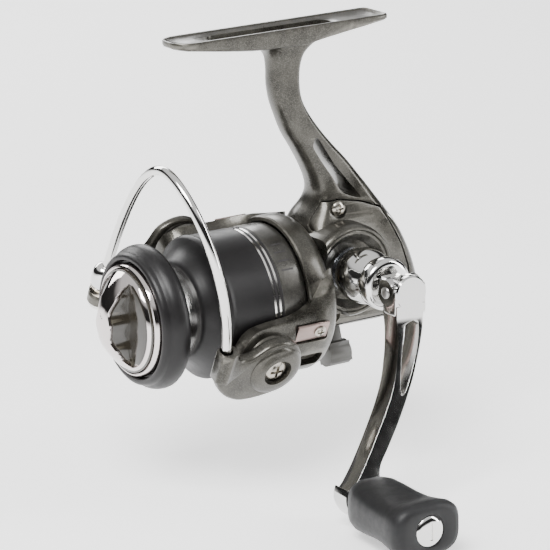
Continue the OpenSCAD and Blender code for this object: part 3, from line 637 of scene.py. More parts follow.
# ---- Rear trim -----------------------------------------------------------------------------
# A satin silver strip let into the gearbox's back edge, held by one small screw.
trim_edge = [(60.9, 17.8), (62.7, 14.4), (65.2, 9.0), (67.0, 3.3), (67.7, -2), (66.8, -6.8), (90, -6.8),
             (90, 17.8)]
strip = carved(body_loft(), slab(trim_edge, -7.4, 7.4), "INTERSECT")
strip = carved(strip, turned([(67.6, 0), (67.6, 1.8), (80, 1.8), (80, 0)], 32, "X", (0, 0, 5.5)))
soften(strip, 0.3, 2, 34)
satin_silver = metal("satin_silver", (0.6, 0.59, 0.57), 0.28, 0.4, 400, 0.3)
trim = piece("rear_strip", strip, "frame", satin_silver)
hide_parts("rear_trim")

# ---- Rotor ---------------------------------------------------------------------------------
# A cast cup that turns round the gearbox's neck, with two arms swept forward beside the spool.
# Painted like the body; the near arm has a recessed plate and a slot below it.


def fade(t):
    t = max(0.0, min(1.0, t))
    return t * t * (3 - 2 * t)


def rotor_arm(side):
    """An arm's flat outline in x and arc length, thickened and wrapped round the spool axis."""
    line = smooth_line([(39.5, 0, -17.4), (37.4, 0, -16.4), (35.4, 0, -13.2), (32.2, 0, -10.6),
                        (27, 0, -9.2), (21, 0, -8.6), (16, 0, -7.6), (13.3, 0, -4.6), (12.7, 0, 0),
                        (13.3, 0, 4.2), (16, 0, 7.0), (21, 0, 8.0), (27, 0, 8.6), (31.6, 0, 10.6),
                        (34.8, 0, 14.0), (37.2, 0, 17.4), (39.5, 0, 18.4)], 4)
    bm = slab([(p.x, p.z) for p in line], 0, 1)
    for step in range(-11, 12):
        bmesh.ops.bisect_plane(bm, geom=bm.verts[:] + bm.edges[:] + bm.faces[:], plane_co=(0, 0, step * 1.5),
                               plane_no=(0, 0, 1))
    for step in range(9):
        bmesh.ops.bisect_plane(bm, geom=bm.verts[:] + bm.edges[:] + bm.faces[:],
                               plane_co=(15 + step * 2.9, 0, 0),
                               plane_no=(1, 0, 0))
    for v in bm.verts:
        x, share, arc = v.co
        swell = fade(1.35 - abs(arc) / 13) * fade((40.4 - x) / 4)
        radius = 17.45 + share * (0.85 + 2.6 * swell)
        angle = arc / 19.4
        v.co = (x, side * radius * math.cos(angle), radius * math.sin(angle))
    bmesh.ops.recalc_face_normals(bm, faces=bm.faces)
    return bm


cup = turned([(29.6, 2.6), (29.6, 13.2), (37.6, 13.2), (37.6, 17.2), (32.7, 17.2), (32.7, 18.0),
              (33.0, 18.35), (36.6, 18.4), (38.0, 18.0), (39.0, 17.2), (39.55, 16.2), (39.6, 15.4),
              (39.6, 12), (31.1, 12), (31.1, 2.6)], 120)
for side in (-1, 1):
    arm = rotor_arm(side)
    cut = boxed((27.0, 19.6 * side, 2.4), (36.2, 24 * side, 7.6)) if side > 0 else boxed(
        (27.0, -24, 2.4), (36.2, -19.6, 7.6))
    arm = carved(arm, cut)
    slot = boxed((28.6, -24 if side < 0 else 18.2, -5.6), (36.4, -18.2 if side < 0 else 24, -1.6))
    soften(slot, 1.6, 5, 80, lambda e: abs(e.verts[0].co.y - e.verts[1].co.y) > 1)
    arm = carved(arm, slot)
    hub = turned([(17.8, 0), (17.8, 6.2), (21.4, 6.2), (22.05, 5.6), (22.05, 0)], 56, "Y")
    if side < 0:
        bmesh.ops.transform(hub, matrix=Matrix.Scale(-1, 4, (0, 1, 0)), verts=hub.verts)
        bmesh.ops.recalc_face_normals(hub, faces=hub.faces)
    arm = carved(arm, moved(hub, (20.1, 0, 0)), "UNION")
    cup = carved(cup, arm, "UNION")
soften(cup, 0.45, 3, 42)
rotor_body = piece("rotor_cup_and_arms", cup, "rotor", gunmetal, on_rotor)
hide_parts("rotor")

# ---- Arm plates ----------------------------------------------------------------------------
# Thin brushed plates with a warm tint, let into the arms and held by one screw each.


def make_brushed_group():
    """Long parallel scratches: a value from 0 to 1 that runs along one axis."""
    group, given, result = shader_group(
        "brushed_grain", [("Stretch", "NodeSocketVector", (60.0, 1.0, 1.0)),
                          ("Scale", "NodeSocketFloat", 4000.0)],
        [("Value", "NodeSocketFloat")])
    nodes, links = group.nodes, group.links
    where = nodes.new("ShaderNodeTexCoord")
    squeeze = nodes.new("ShaderNodeVectorMath")
    squeeze.operation = "DIVIDE"
    streaks = nodes.new("ShaderNodeTexNoise")
    streaks.inputs["Detail"].default_value = 3
    links.new(where.outputs["Object"], squeeze.inputs[0])
    links.new(given.outputs["Stretch"], squeeze.inputs[1])
    links.new(squeeze.outputs[0], streaks.inputs["Vector"])
    links.new(given.outputs["Scale"], streaks.inputs["Scale"])
    links.new(streaks.outputs["Fac"], result.inputs["Value"])
    return group


brushed_group = make_brushed_group()


def brushed(name, dark, light, roughness, stretch):
    material, tree, shader = plain(name, light, metallic=1.0, roughness=roughness)
    grain = use_group(material, brushed_group, Stretch=stretch)
    tone = tree.nodes.new("ShaderNodeMix")
    tone.data_type = "RGBA"
    tone.inputs[6].default_value = (*dark, 1)
    tone.inputs[7].default_value = (*light, 1)
    tree.links.new(grain.outputs["Value"], tone.inputs[0])
    tree.links.new(tone.outputs[2], shader.inputs["Base Color"])
    bumped(tree, shader, grain.outputs["Value"], 0.000012, 0.5)
    return material


rose_plate = brushed("rose_plate", (0.2, 0.15, 0.135), (0.42, 0.335, 0.31), 0.3, (60, 1, 1))
plates = []
for side in (-1, 1):
    plate = boxed((27.3, min(19.7 * side, 20.35 * side), 2.7), (35.9, max(19.7 * side, 20.35 * side), 7.3))
    soften(plate, 0.18, 2)
    plates.append(plate)
arm_plate = piece("arm_plate_faces", joined(*plates), "rotor", rose_plate, on_rotor)
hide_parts("arm_plates")

# ---- Plate screws --------------------------------------------------------------------------
# Cross-recess screws through the plates, the same zinc as the cover's.
near = moved(cross_head(1.5, 0.75, 1.5), (33.6, -20.3, 5))
far = moved(cross_head(1.5, 0.75, 1.5), (33.6, -20.3, 5))
bmesh.ops.transform(far, matrix=Matrix.Scale(-1, 4, (0, 1, 0)), verts=far.verts)
bmesh.ops.recalc_face_normals(far, faces=far.faces)
plate_screw = piece("plate_screw_heads", joined(near, far), "rotor", zinc, on_rotor)
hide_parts("plate_screws")

# ---- Near bail arm -------------------------------------------------------------------------
# A boot-shaped casting: a six-sided socket that grips the wire, and a domed round cover over
# the pivot screw. Painted like the rotor.
boot = slab([(p.x, p.z) for p in smooth_line(
    [(4.5, 0, 6.0), (6.6, 0, 6.4), (8.6, 0, 6.0), (10.4, 0, 4.9), (13.4, 0, 5.2), (17, 0, 7.4), (21, 0, 7.9),
     (24.4, 0, 6.5), (26.6, 0, 3), (27.1, 0, -1), (26.0, 0, -4.4), (23.2, 0, -6.8), (18, 0, -7.9),
     (13, 0, -7.9), (10.0, 0, -6.9), (7.4, 0, -5.0), (5.5, 0, -2.6), (4.6, 0, 0.4),
     (4.4, 0, 3.4)], 4, closed=True)], -24.9, -21.7)
soften(boot, 1.15, 4, 60)
socket = bmesh.new()
bmesh.ops.create_circle(socket, segments=6, radius=2.75, cap_ends=True)
tall = bmesh.ops.extrude_face_region(socket, geom=list(socket.faces))["geom"]
bmesh.ops.translate(socket, verts=[g for g in tall if isinstance(g, bmesh.types.BMVert)], vec=(0, 0, 8.2))
bmesh.ops.recalc_face_normals(socket, faces=socket.faces)
soften(socket, 0.35, 2, 20)
boot = carved(boot, moved(socket, (6.75, -22.9, -0.9)), "UNION")
boot = carved(boot, moved(turned([(5.2, 0), (5.2, 1.6), (9, 1.6), (9, 0)], 32, "Z"), (6.3, -22.6, 0)))
dome = turned([(-21.8, 0), (-21.8, 6.9), (-24.2, 6.95), (-25.2, 6.5), (-25.7, 5.7), (-25.95, 4.4),
               (-26.0, 3.5), (-24.4, 3.3), (-24.4, 0)], 72, "Y")
boot = carved(boot, moved(dome, (20.1, 0, 0)), "UNION")
boot = carved(boot, moved(turned([(-30, 0), (-30, 3.3), (-24.4, 3.3), (-24.4, 0)], 56, "Y"), (20.1, 0, 0)))
near_arm = piece("near_bail_arm", boot, "bail", gunmetal, on_rotor)
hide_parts("bail_arm")

# ---- Far bail arm --------------------------------------------------------------------------
# The arm behind the spool that carries the line roller, also painted.
reach = slab([(p.x, p.z) for p in smooth_line(
    [(20, 0, 6.2), (14.8, 0, 4.2), (12.4, 0, -0.4), (9, 0, -6), (4.9, 0, -11.6), (1.2, 0, -11.9),
     (-0.6, 0, -13), (0.8, 0, -14.4), (6, 0, -14.2), (12, 0, -10.9), (20, 0, -6.4), (25.2, 0, -4),
     (26.6, 0, 0), (25.2, 0, 4)],
    4, closed=True)], 23.05, 25.2)
soften(reach, 0.7, 3, 60)
far_dome = turned([(22.95, 4.9), (22.95, 5.3), (25.1, 5.3), (25.6, 4.6), (25.6, 3.2), (24.7, 3.2),
                   (24.7, 1.4), (23.5, 1.4), (23.5, 4.9)], 64, "Y")
reach = carved(reach, moved(far_dome, (20.1, 0, 0)), "UNION")
foot_of_roller = turned([(-14.6, 1.0), (-14.6, 2.4), (-14.2, 2.85), (-12.2, 2.9), (-11.75, 2.5),
                         (-11.75, 1.0)],
                        48, "Z")
reach = carved(reach, moved(foot_of_roller, (1.3, 22.5, 0)), "UNION")
far_arm = piece("far_bail_arm", reach, "bail", gunmetal, on_rotor)
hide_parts("bail_far_arm")

# ---- Pivot screws --------------------------------------------------------------------------
# Large bright screws on which both bail arms turn.
near = moved(cross_head(2.75, 1.25, 6), (20.1, -24.35, 0))
far = moved(cross_head(2.75, 1.0, 6), (20.1, -24.6, 0))
bmesh.ops.transform(far, matrix=Matrix.Scale(-1, 4, (0, 1, 0)), verts=far.verts)
bmesh.ops.recalc_face_normals(far, faces=far.faces)
pivot_screw = piece("pivot_screw_heads", joined(near, far), "bail", zinc, on_rotor)
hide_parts("pivot_screws")

# ---- Bail wire -----------------------------------------------------------------------------
# Polished stainless wire bent to a hoop, ending in a bright cone that leads the line down.


def bezier(points, t):
    return sum((Vector(p) * k for p, k in zip(points, ((1 - t) ** 3, 3 * t * (1 - t) ** 2,
                                                       3 * t * t * (1 - t), t ** 3))), Vector())


spans = [[(6.3, -22.6, 7.4), (3.8, -21.8, 24.4), (-1, -10.5, 39.3), (-1.7, 2, 39.5)],
         [(-1.7, 2, 39.5), (-2.3, 14, 39.6), (0.6, 20.2, 16), (1.3, 22.5, -4.6)]]
path = [Vector((6.3, -22.6, 5.4))] + [bezier(spans[0], i / 32) for i in range(33)] + [
    bezier(spans[1], i / 32) for i in range(1, 33)]
wire = bmesh.new()
rings = []
for i, at in enumerate(path):
    along = (path[min(i + 1, len(path) - 1)] - path[max(i - 1, 0)]).normalized()
    ring = bmesh.ops.create_circle(wire, segments=20, radius=1.15, cap_ends=False)["verts"]
    u = along.cross(Vector((1, 0, 0.001))).normalized()
    w = along.cross(u)
    for k, v in enumerate(ring):
        a = 2 * math.pi * k / 20
        v.co = at + 1.15 * (u * math.cos(a) + w * math.sin(a))
    rings.append(ring)
for near_ring, far_ring in zip(rings, rings[1:]):
    for k in range(20):
        wire.faces.new((near_ring[k], near_ring[(k + 1) % 20], far_ring[(k + 1) % 20], far_ring[k]))
for ring in (rings[0], rings[-1]):
    bmesh.ops.contextual_create(wire, geom=ring)
bmesh.ops.recalc_face_normals(wire, faces=wire.faces)
cone = turned([(-8.9, 1.0), (-8.9, 2.95), (-8.5, 3.1), (-6.2, 3.1), (-4.8, 2.8), (-3.9, 2.2), (-3.4, 1.3),
               (-3.3, 0), (-6.5, 0), (-6.5, 1.0)], 56, "Z")
wire = carved(wire, moved(cone, (1.3, 22.5, 0)), "UNION")
chrome = metal("bright_chrome", (0.74, 0.735, 0.72), 0.035, 0.1, 220)
bail_hoop = piece("bail_hoop", wire, "bail", chrome, on_rotor)
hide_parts("bail_wire")

# ---- Line roller ---------------------------------------------------------------------------
# A small hard-chromed roller with a groove, between the cone and the far arm's foot.
roller = turned([(-11.4, 1.72), (-11.4, 2.7), (-11.2, 2.9), (-10.9, 2.8), (-10.3, 2.4), (-9.7, 2.8),
                 (-9.4, 2.9), (-9.2, 2.7), (-9.2, 1.72)], 56, "Z")
pale_roller = metal("pale_roller", (0.72, 0.66, 0.55), 0.12, 0.2, 500)
line_roller = piece("roller_face", moved(roller, (1.3, 22.5, 0)), "line_roller", pale_roller,
                    on_rotor)
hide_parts("line_roller")

# ---- Spool core ----------------------------------------------------------------------------
# Polished aluminium: the arbor the line winds on, with a bright thin rim by the lip, a chamber
# for the drag stack in front and a hub behind.


def turned_band(name, profile, body, slot, material, width=0.0, **where):
    """A turned piece with its corners just broken, ready on its body."""
    bm = turned(profile, 128, **where)
    if width:
        soften(bm, width, 2, 35)
    return piece(name, bm, body, material)


bright_aluminium = metal("bright_aluminium", (0.78, 0.77, 0.75), 0.09, 0.2, 300, 0.2)
core = turned_band("arbor", [(-3.4, 8.6), (-3.4, 10.6), (1.6, 10.6), (1.6, 11.25), (2.15, 11.3),
                             (2.3, 10.62), (9.2, 10.6), (9.2, 9.2), (5.8, 9.2), (5.8, 4.6), (19.4, 4.6),
                             (19.4, 1.6), (4.4, 1.6), (4.4, 8.6)], "spool", "spool_silver",
                   bright_aluminium, 0.1)
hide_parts("spool_core")

# ---- Spool lip -----------------------------------------------------------------------------
# The front flange: satin black anodised metal with two rolled beads, a wide one for the line
# to run over and a smaller one round the knob.


def satin(name, colour, low, high, sheen_colour, scale=520.0):
    """A dyed or moulded dark surface: fine grain, faint cloudiness and paler edges, which are a painted edge
    highlight mixed with wear.
    """
    material, tree, shader = plain(name, colour, roughness=high)
    smudge = use_group(material, smudge_group, Scale=scale, Low=low, High=high)
    fine = use_group(material, smudge_group, Scale=scale * 16)
    edge = use_group(material, edge_group)
    # Edges take the sheen colour from the edge mask: a painted highlight, partly wear.
    rubbed_and_sheen = tree.nodes.new("ShaderNodeMix")
    rubbed_and_sheen.data_type = "RGBA"
    rubbed_and_sheen.inputs[6].default_value = (*colour, 1)
    rubbed_and_sheen.inputs[7].default_value = (*sheen_colour, 1)
    tree.links.new(edge.outputs["Edge"], rubbed_and_sheen.inputs[0])
    tree.links.new(rubbed_and_sheen.outputs[2], shader.inputs["Base Color"])
    tree.links.new(smudge.outputs["Value"], shader.inputs["Roughness"])
    bumped(tree, shader, fine.outputs["Value"], 0.000006, 0.45)
    return material


anodised = satin("black_anodised", (0.006, 0.0054, 0.0058), 0.34, 0.44, (0.05, 0.047, 0.047))
anodised.node_tree.nodes["Principled BSDF"].inputs["Specular IOR Level"].default_value = 0.3
lip = turned_band("front_lip", [
    (-3.4, 10.62), (-3.4, 13.7), (-3.7, 13.75), (-4.6, 13.85), (-4.95, 14.1), (-5.05, 14.5), (-4.95, 14.95),
    (-4.6, 15.35), (-4.0, 15.6), (-3.5, 15.66), (-3.15, 15.8), (-2.7, 16.25), (-2.0, 16.7), (-1.1, 16.95),
    (-0.2, 17.0), (0.6, 16.85), (1.25, 16.45), (1.7, 15.8), (1.88, 15.1), (1.85, 14.4), (1.72, 13.4),
    (1.6, 12.2), (1.6, 11.27), (1.58, 10.62)], "spool", "spool_black", anodised)
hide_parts("spool_lip")

# ---- Spool skirt ---------------------------------------------------------------------------
# One turned black shell: a stepped shoulder behind the line, then a straight skirt with two
# bright rings cut through the dye near its rear edge.
skirt = turned_band("skirt", [
    (7.3, 9.3), (7.3, 11.0), (7.5, 11.5), (8.2, 12.1), (9.2, 12.9), (10.0, 13.7), (10.7, 14.6), (11.2, 15.6),
    (11.5, 16.3), (11.8, 16.75), (12.3, 16.98), (12.8, 17.0), (13.2, 16.85), (13.8, 16.8), (23.75, 16.8),
    (23.8, 16.68), (24.4, 16.68), (24.45, 16.8), (25.05, 16.8), (25.1, 16.68), (25.7, 16.68), (25.75, 16.8),
    (26.4, 16.8), (26.5, 16.7), (26.5, 15.9), (14.2, 15.9), (12.2, 12.4), (9.6, 9.3)],
    "spool", "spool_black", anodised)
for at in (23.85, 25.15):
    turned_band("bright_ring", [(at, 16.6), (at, 16.79), (at + 0.5, 16.79), (at + 0.5, 16.6)], "spool",
                "spool_silver", bright_aluminium)
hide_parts("spool_skirt")

# ---- Skirt band ----------------------------------------------------------------------------
# A painted ring at the skirt's rear, with four short dark index lines.
band = turned_band("skirt_band", [(26.5, 15.9), (26.5, 16.75), (26.6, 16.86), (32.0, 16.86), (32.4, 16.8),
                                  (32.65, 16.6), (32.7, 16.3), (32.7, 15.9)], "spool", "band_grey",
                   flake_paint("band_paint", (0.02, 0.019, 0.016), (0.11, 0.105, 0.095), 0.25, 0.5))
ticks = []
for turn_by in (34, 42, 50, 58):
    tick = boxed((27.6, -16.9, -0.22), (30.6, -16.7, 0.22))
    bmesh.ops.transform(tick, matrix=Matrix.Rotation(math.radians(-turn_by), 4, "X"), verts=tick.verts)
    ticks.append(tick)
piece("index_lines", joined(*ticks), "spool", anodised)
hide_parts("skirt_ring")

# ---- Drag knob -----------------------------------------------------------------------------
# A chromed shell over a smoke-dark core. The shell is a rim ring joined by one upright bar,
# which fingers turn; between them two windows with scalloped walls show the core.


def window_tool(side, grow, floor, bar):
    """A cutter for one window: a scalloped line by the bar and an arc by the rim."""
    reach = 11.15 + grow
    outline = []
    for step in range(33):
        z = -10.1 + 20.2 * step / 32
        outline.append((side * (bar - grow + 0.35 * math.cos(2 * math.pi * z / 6.4)
                                + 1.5 * fade((abs(z) - 7.4) / 2.8)), z))
    angle = math.acos((bar + 2.0) / reach)
    for step in range(1, 32):
        a = angle * (1 - 2 * step / 32)
        outline.append((side * reach * math.cos(a), reach * math.sin(a)))
    bm = bmesh.new()
    bm.faces.new([bm.verts.new((floor, y, z)) for y, z in outline])
    grown = bmesh.ops.extrude_face_region(bm, geom=list(bm.faces))["geom"]
    bmesh.ops.translate(bm, verts=[g for g in grown if isinstance(g, bmesh.types.BMVert)],
                        vec=(-20 - floor, 0, 0))
    bmesh.ops.recalc_face_normals(bm, faces=bm.faces)
    return bm


knob_dome = [(-12.6, 0), (-12.55, 2.8), (-12.1, 4.6), (-10.9, 6.8), (-9.4, 8.8), (-8.0, 10.4), (-6.6, 11.6),
             (-5.6, 12.15)]
shell = turned(knob_dome + [(-5.6, 11.4), (-6.3, 11.0), (-7.5, 9.9), (-8.9, 8.3), (-10.4, 6.3), (-11.5, 4.3),
                            (-11.85, 2.6), (-11.85, 0)], 112)
for side in (-1, 1):
    shell = carved(shell, window_tool(side, 0, -4, 2.75))
dimple = boxed((-14, -0.75, 1.6), (-12.45, 0.75, 5.6))
soften(dimple, 0.75, 5, 80, lambda e: abs(e.verts[0].co.x - e.verts[1].co.x) > 1)
shell = carved(shell, dimple)
soften(shell, 0.22, 3, 38)
knob_chrome = metal("knob_chrome", (0.66, 0.61, 0.6), 0.04, 0.12, 240)
knob = piece("knob_shell", shell, "drag_knob", knob_chrome)
smoke = satin("smoke_plastic", (0.022, 0.019, 0.014), 0.12, 0.2, (0.1, 0.09, 0.07), 400)
smoke.node_tree.nodes["Principled BSDF"].inputs["Coat Weight"].default_value = 0.6
inner = turned([(-11.8, 0), (-11.8, 2.5), (-11.4, 4.2), (-10.3, 6.2), (-8.8, 8.2), (-7.4, 9.8), (-6.9, 10.6),
                (-6.4, 11.35), (-6.4, 12.1), (-4.2, 12.1), (-3.7, 9.4), (-3.7, 0)], 96)
for side in (-1, 1):
    inner = carved(inner, window_tool(side, -0.35, -7.1, 2.75))
soften(inner, 0.25, 2, 42)
piece("knob_core", inner, "drag_knob", smoke)
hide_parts("drag_knob")
rim = turned_band("knob_rim_ring", [(-5.4, 12.2), (-5.9, 12.35), (-6.0, 12.6), (-5.85, 12.95), (-5.3, 13.2),
                                    (-4.6, 13.38), (-4.0, 13.3), (-3.75, 12.9), (-3.9, 12.2)],
                  "drag_knob", "chrome_trim", knob_chrome)
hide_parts("knob_rim")

# ---- Crank collar --------------------------------------------------------------------------
# A bell of chromed metal on the crank axle, waisted before a bead, with a flat tongue that the
# folding head hangs on.
bell = turned([(-13.9, 0), (-13.9, 5.3), (-14.1, 5.9), (-14.8, 6.25), (-16.2, 6.5), (-18.2, 6.6),
               (-19.8, 6.45), (-21.2, 5.95), (-22.4, 5.3), (-23.3, 4.95), (-23.8, 4.95), (-24.0, 5.5),
               (-24.35, 6.05), (-25.0, 6.2), (-26.8, 6.2), (-27.5, 6.0), (-27.95, 5.4), (-28.0, 4.6),
               (-28.0, 0)], 112, "Y",
              (axle.x, 0, axle.z))
tongue = boxed((axle.x - 2.2, -32.6, axle.z - 2.6), (axle.x + 2.2, -27, axle.z + 2.6))
tongue = carved(tongue, turned([(-2.2, 0), (-2.2, 2.6), (2.2, 2.6), (2.2, 0)], 48, "X",
                               (axle.x, -32.6, axle.z)), "UNION")
bell = carved(bell, tongue, "UNION")
soften(bell, 0.15, 2, 60)
collar = piece("crank_bell", bell, "crank_axle", chrome)
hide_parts("handle_collar")

# ---- Crank arm -----------------------------------------------------------------------------
# Die-cast and chromed: a folding head, then a flat arm that narrows, bends forward and leans
# outward, with one long tapering window. Its faces are satin chrome.
arm_lean = [(10.0, -31.0, -37.0), (6, -31.2, -37.0), (0, -31.4, -37.0), (-10, -34.0, -39.6),
            (-24, -39.0, -44.0), (-34, -42.5, -47.6), (-38, -43.0, -48.25), (-46, -43.5, -48.3)]


def leaned(v):
    inner_y, outer_y = value_at(arm_lean, v.co.z)[1:]
    v.co.y = inner_y + (outer_y - inner_y) * v.co.y


def sliced(bm, start, stop, step):
    """Cuts a mesh across Z at even heights so that it can be bent."""
    height = start
    while height < stop:
        bmesh.ops.bisect_plane(bm, geom=bm.verts[:] + bm.edges[:] + bm.faces[:], plane_co=(0, 0, height),
                               plane_no=(0, 0, 1))
        height += step


foot_x, foot_z = grip_axis.x, grip_axis.z
arm_line = smooth_line([(44.0, 3, 0), (43.7, -3, 0), (42.3, -9, 0), (40.2, -14, 0), (37.3, -18.6, 0),
                        (33.9, -23, 0), (30.3, -27.4, 0), (26.7, -31.4, 0), (23.4, -34.4, 0),
                        (foot_x - 4.2, foot_z + 2.6, 0), (foot_x - 4.9, foot_z - 0.6, 0),
                        (foot_x - 2.7, foot_z - 4.1, 0), (foot_x + 1.0, foot_z - 4.8, 0),
                        (foot_x + 4.2, foot_z - 2.6, 0), (foot_x + 5.0, foot_z + 1.2, 0),
                        (31.6, -33.4, 0), (32.6, -30.2, 0), (35.4, -27.0, 0), (39.0, -22.8, 0),
                        (42.4, -18.2, 0), (45.6, -13.4, 0), (48.2, -8.4, 0), (50.4, -3, 0), (51.9, 3, 0)], 4)
arm_hole = smooth_line([(45.2, -3.4, 0), (45.9, -1.5, 0), (48.9, -0.7, 0), (49.6, -2.2, 0), (48.2, -7.0, 0),
                        (45.9, -11.4, 0), (43.2, -15.6, 0), (41.9, -16.4, 0), (42.0, -14.4, 0),
                        (43.6, -8.4, 0)],
                       4, closed=True)
arm = slab([(p.x, p.y) for p in arm_line], 0, 1)
sliced(arm, -45, 3, 2.5)
for v in arm.verts:
    leaned(v)
bmesh.ops.recalc_face_normals(arm, faces=arm.faces)
hole = slab([(p.x, p.y) for p in arm_hole], -60, -20)
arm = carved(arm, hole)
soften(arm, 0.75, 4, 50)
head = turned([(-4.3, 0), (-4.3, 3.1), (-4.0, 3.4), (4.0, 3.4), (4.3, 3.1), (4.3, 0)], 64, "X",
              (axle.x, -32.6, axle.z))
block = boxed((axle.x - 4.3, -36.9, 0.2), (axle.x + 4.3, -31.4, axle.z + 2.4))
soften(block, 0.9, 4, 60)
head = carved(head, block, "UNION")
head = carved(head, turned([(-37, 0), (-37, 3.9), (-36.6, 4.3), (-33, 4.3), (-33, 0)], 64, "Y",
                           (axle.x, 0, axle.z)), "UNION")
head = carved(head, boxed((axle.x - 2.5, -35.7, axle.z - 3.4), (axle.x + 2.5, -20, 20)))
soften(head, 0.3, 2, 50)
arm = carved(arm, head, "UNION")
arm = carved(arm, turned([(-49, 0), (-49, 1.45), (-40, 1.45), (-40, 0)], 40, "Y", (foot_x, 0, foot_z)))
satin_chrome = metal("satin_chrome", (0.6, 0.595, 0.585), 0.07, 0.16, 320, 0.12)
crank = piece("crank", arm, "crank", satin_chrome, corner=30)
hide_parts("crank_arm")

# ---- Fold pin ------------------------------------------------------------------------------
# A dull steel pin through the head and the tongue, its ends turned over.
pin = turned([(-4.75, 0), (-4.75, 0.9), (-4.5, 1.35), (-4.3, 1.35), (-4.3, 0.98), (4.3, 0.98), (4.3, 1.35),
              (4.5, 1.35), (4.75, 0.9), (4.75, 0)], 40, "X", (axle.x, -32.6, axle.z))
dull_steel = metal("dull_steel", (0.42, 0.41, 0.4), 0.28, 0.42, 600, 0.3)
fold_pin = piece("fold_pin_ends", pin, "crank_axle", dull_steel)
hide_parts("fold_pin")

# ---- Spindle -------------------------------------------------------------------------------
# The grip's chromed post, riveted through the foot of the crank, with a collar on the inside.
post = turned([(-70.8, 0.7), (-70.8, 1.4), (-42.4, 1.4), (-42.4, 2.3), (-42.2, 2.6), (-41.7, 2.6),
               (-41.4, 2.2), (-41.4, 0), (-64.9, 0), (-64.9, 0.7)], 56, "Y", (foot_x, 0, foot_z))
spindle = piece("grip_post", post, "crank", satin_chrome)
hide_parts("grip_spindle")

# ---- Grip ----------------------------------------------------------------------------------
# Soft charcoal rubber moulded round the post: slim at the crank, broad at the end, with a
# saddle for the thumb and a finger on its two flat sides.
grip_sections = [  # place along the post, width, height, how much the sides are dished
    (-48.9, 8.2, 8.2, 0.0), (-49.1, 10.0, 9.6, 0.0), (-50.2, 12.0, 11.2, 0.0), (-52.6, 13.4, 11.9, 0.0),
    (-56.5, 14.1, 11.7, 0.25), (-60.5, 14.7, 11.2, 0.7), (-64.5, 15.6, 11.1, 0.9), (-68.2, 16.8, 11.8, 0.5),
    (-71.0, 17.5, 12.5, 0.1), (-72.8, 17.0, 12.3, 0.0), (-73.7, 15.4, 11.0, 0.0), (-73.9, 13.4, 9.4, 0.0)]
rubber_bm = bmesh.new()
grip_rings = []
for y, wide, tall_by, dish in grip_sections:
    ring = []
    for k in range(32):
        a = 2 * math.pi * (k + 0.5) / 32
        c, s = math.cos(a), math.sin(a)
        x = wide / 2 * math.copysign(abs(c) ** 0.62, c)
        z = tall_by / 2 * math.copysign(abs(s) ** 0.62, s)
        z -= math.copysign(dish * (1 - (x / (wide / 2)) ** 2), z)
        ring.append(rubber_bm.verts.new((foot_x + x, y, foot_z + z)))
    grip_rings.append(ring)
for near_ring, far_ring in zip(grip_rings, grip_rings[1:]):
    for k in range(32):
        rubber_bm.faces.new((near_ring[k], near_ring[(k + 1) % 32], far_ring[(k + 1) % 32], far_ring[k]))


def end_wall(ring, radii, places):
    """Closes an end of the grip down to a round bore, as quads."""
    inner_ring = ring
    for radius, y in zip(radii, places):
        fresh = []
        for k in range(32):
            a = 2 * math.pi * (k + 0.5) / 32
            fresh.append(rubber_bm.verts.new((foot_x + radius * math.cos(a), y,
                                              foot_z + radius * math.sin(a))))
        for k in range(32):
            rubber_bm.faces.new((inner_ring[k], inner_ring[(k + 1) % 32], fresh[(k + 1) % 32], fresh[k]))
        inner_ring = fresh
    return inner_ring


bore_near = end_wall(grip_rings[0], (3.2, 2.5, 2.42), (-48.92, -48.95, -49.3))
bore_far = end_wall(grip_rings[-1], (3.95, 3.76, 3.72, 3.72, 2.42), (-73.9, -73.8, -73.5, -72.3, -72.3))
for k in range(32):
    rubber_bm.faces.new((bore_near[k], bore_near[(k + 1) % 32], bore_far[(k + 1) % 32], bore_far[k]))
bmesh.ops.recalc_face_normals(rubber_bm, faces=rubber_bm.faces)
bmesh.ops.subdivide_edges(rubber_bm, edges=[e for e in rubber_bm.edges if e.calc_length() > 5], cuts=1)
rubber = satin("grip_rubber", (0.006, 0.006, 0.0066), 0.42, 0.54, (0.03, 0.03, 0.032), 700)
rubber.node_tree.nodes["Principled BSDF"].inputs["Specular IOR Level"].default_value = 0.32
rubber.node_tree.nodes["Principled BSDF"].inputs["Sheen Weight"].default_value = 0.04
grip = piece("grip_body", rubber_bm, "grip", rubber, corner=50)
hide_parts("grip")

# ---- Grip cap ------------------------------------------------------------------------------
# A chromed disc pressed into the end of the grip over its screw.
cap = turned([(-74.5, 0), (-74.48, 1.6), (-74.3, 2.9), (-73.95, 3.5), (-73.6, 3.7), (-72.4, 3.7),
              (-72.4, 0)], 72,
             "Y", (foot_x, 0, foot_z))
slot_cut = boxed((foot_x - 0.35, -75, foot_z - 2.0), (foot_x + 0.35, -74.2, foot_z + 2.0))
cap = carved(cap, slot_cut)
grip_cap = piece("grip_end_disc", cap, "grip", chrome)
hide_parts("grip_cap")

# ---- Anti-reverse lever --------------------------------------------------------------------
# A small grey moulded tab under the gearbox; pushed across, it stops the crank turning back.


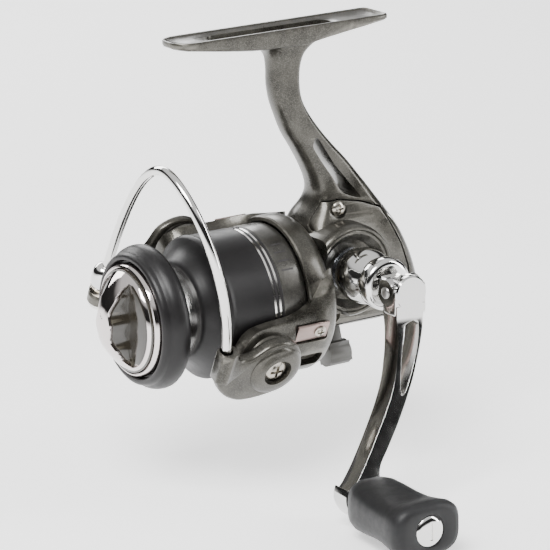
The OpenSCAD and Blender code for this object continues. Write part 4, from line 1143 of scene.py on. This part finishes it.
def finished_copy(name, node, body, material, width, sharper=40):
    """A CAD piece's own shape with broken edges, for pieces whose form is already right."""
    bm = bmesh.new()
    bm.from_mesh(frame["nodes"][node].data)
    bmesh.ops.transform(bm, matrix=frame["nodes"][node].matrix_world, verts=bm.verts)
    bmesh.ops.remove_doubles(bm, verts=bm.verts, dist=0.000001)
    bmesh.ops.transform(bm, matrix=to_row.inverted(), verts=bm.verts)
    bmesh.ops.dissolve_limit(bm, angle_limit=math.radians(1), verts=bm.verts, edges=bm.edges)
    soften(bm, width, 2, sharper)
    made = piece(name, bm, body, material)
    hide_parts(node)
    return made


lever_grey = satin("lever_grey", (0.07, 0.068, 0.062), 0.34, 0.46, (0.16, 0.155, 0.15), 600)
finished_copy("reverse_tab", "reverse_lever", "reverse_lever", lever_grey, 0.35)

# ---- Far-side cap --------------------------------------------------------------------------
# A knurled plug that closes the crank axle's other end.
finished_copy("axle_plug", "screw_cap", "crank_axle", lever_grey, 0.15)

# ---- Works inside --------------------------------------------------------------------------
# Gears, bearings, shaft, drag discs and springs: machined steel, cut brass, turned bronze,
# white nylon and pressed felt, seen only where the covers let them be.
brass = metal("cut_brass", (0.72, 0.52, 0.22), 0.2, 0.34, 500, 0.3)
bronze = metal("oiled_bronze", (0.5, 0.3, 0.16), 0.3, 0.45, 700, 0.5)
steel = brushed("machined_steel", (0.42, 0.42, 0.43), (0.66, 0.66, 0.66), 0.28, (1, 30, 30))
ground_steel = metal("ground_steel", (0.55, 0.56, 0.58), 0.16, 0.24, 600, 0.15)
nylon = satin("white_nylon", (0.72, 0.71, 0.67), 0.36, 0.48, (0.8, 0.8, 0.78), 600)
felt = satin("oiled_felt", (0.3, 0.24, 0.16), 0.85, 0.95, (0.4, 0.33, 0.24), 2400)
finish_of = {"steel": steel, "bearing_steel": ground_steel, "brass_gear": brass, "bronze_bush": bronze,
             "nylon": nylon, "felt": felt, "silver_trim": satin_silver, "chrome_trim": chrome,
             "plate_metal": rose_plate, "gunmetal": gunmetal, "spool_silver": bright_aluminium,
             "spool_black": anodised, "band_grey": lever_grey, "knob_black": smoke, "grip_rubber": rubber}
slots = {s["node"]: s["material_slot"] for s in frame["record"]["subparts"]}
for node, made in frame["nodes"].items():
    if not made.hide_render:
        for index in range(len(made.material_slots)):
            made.material_slots[index].link = "OBJECT"
            made.material_slots[index].material = finish_of[slots[node]]
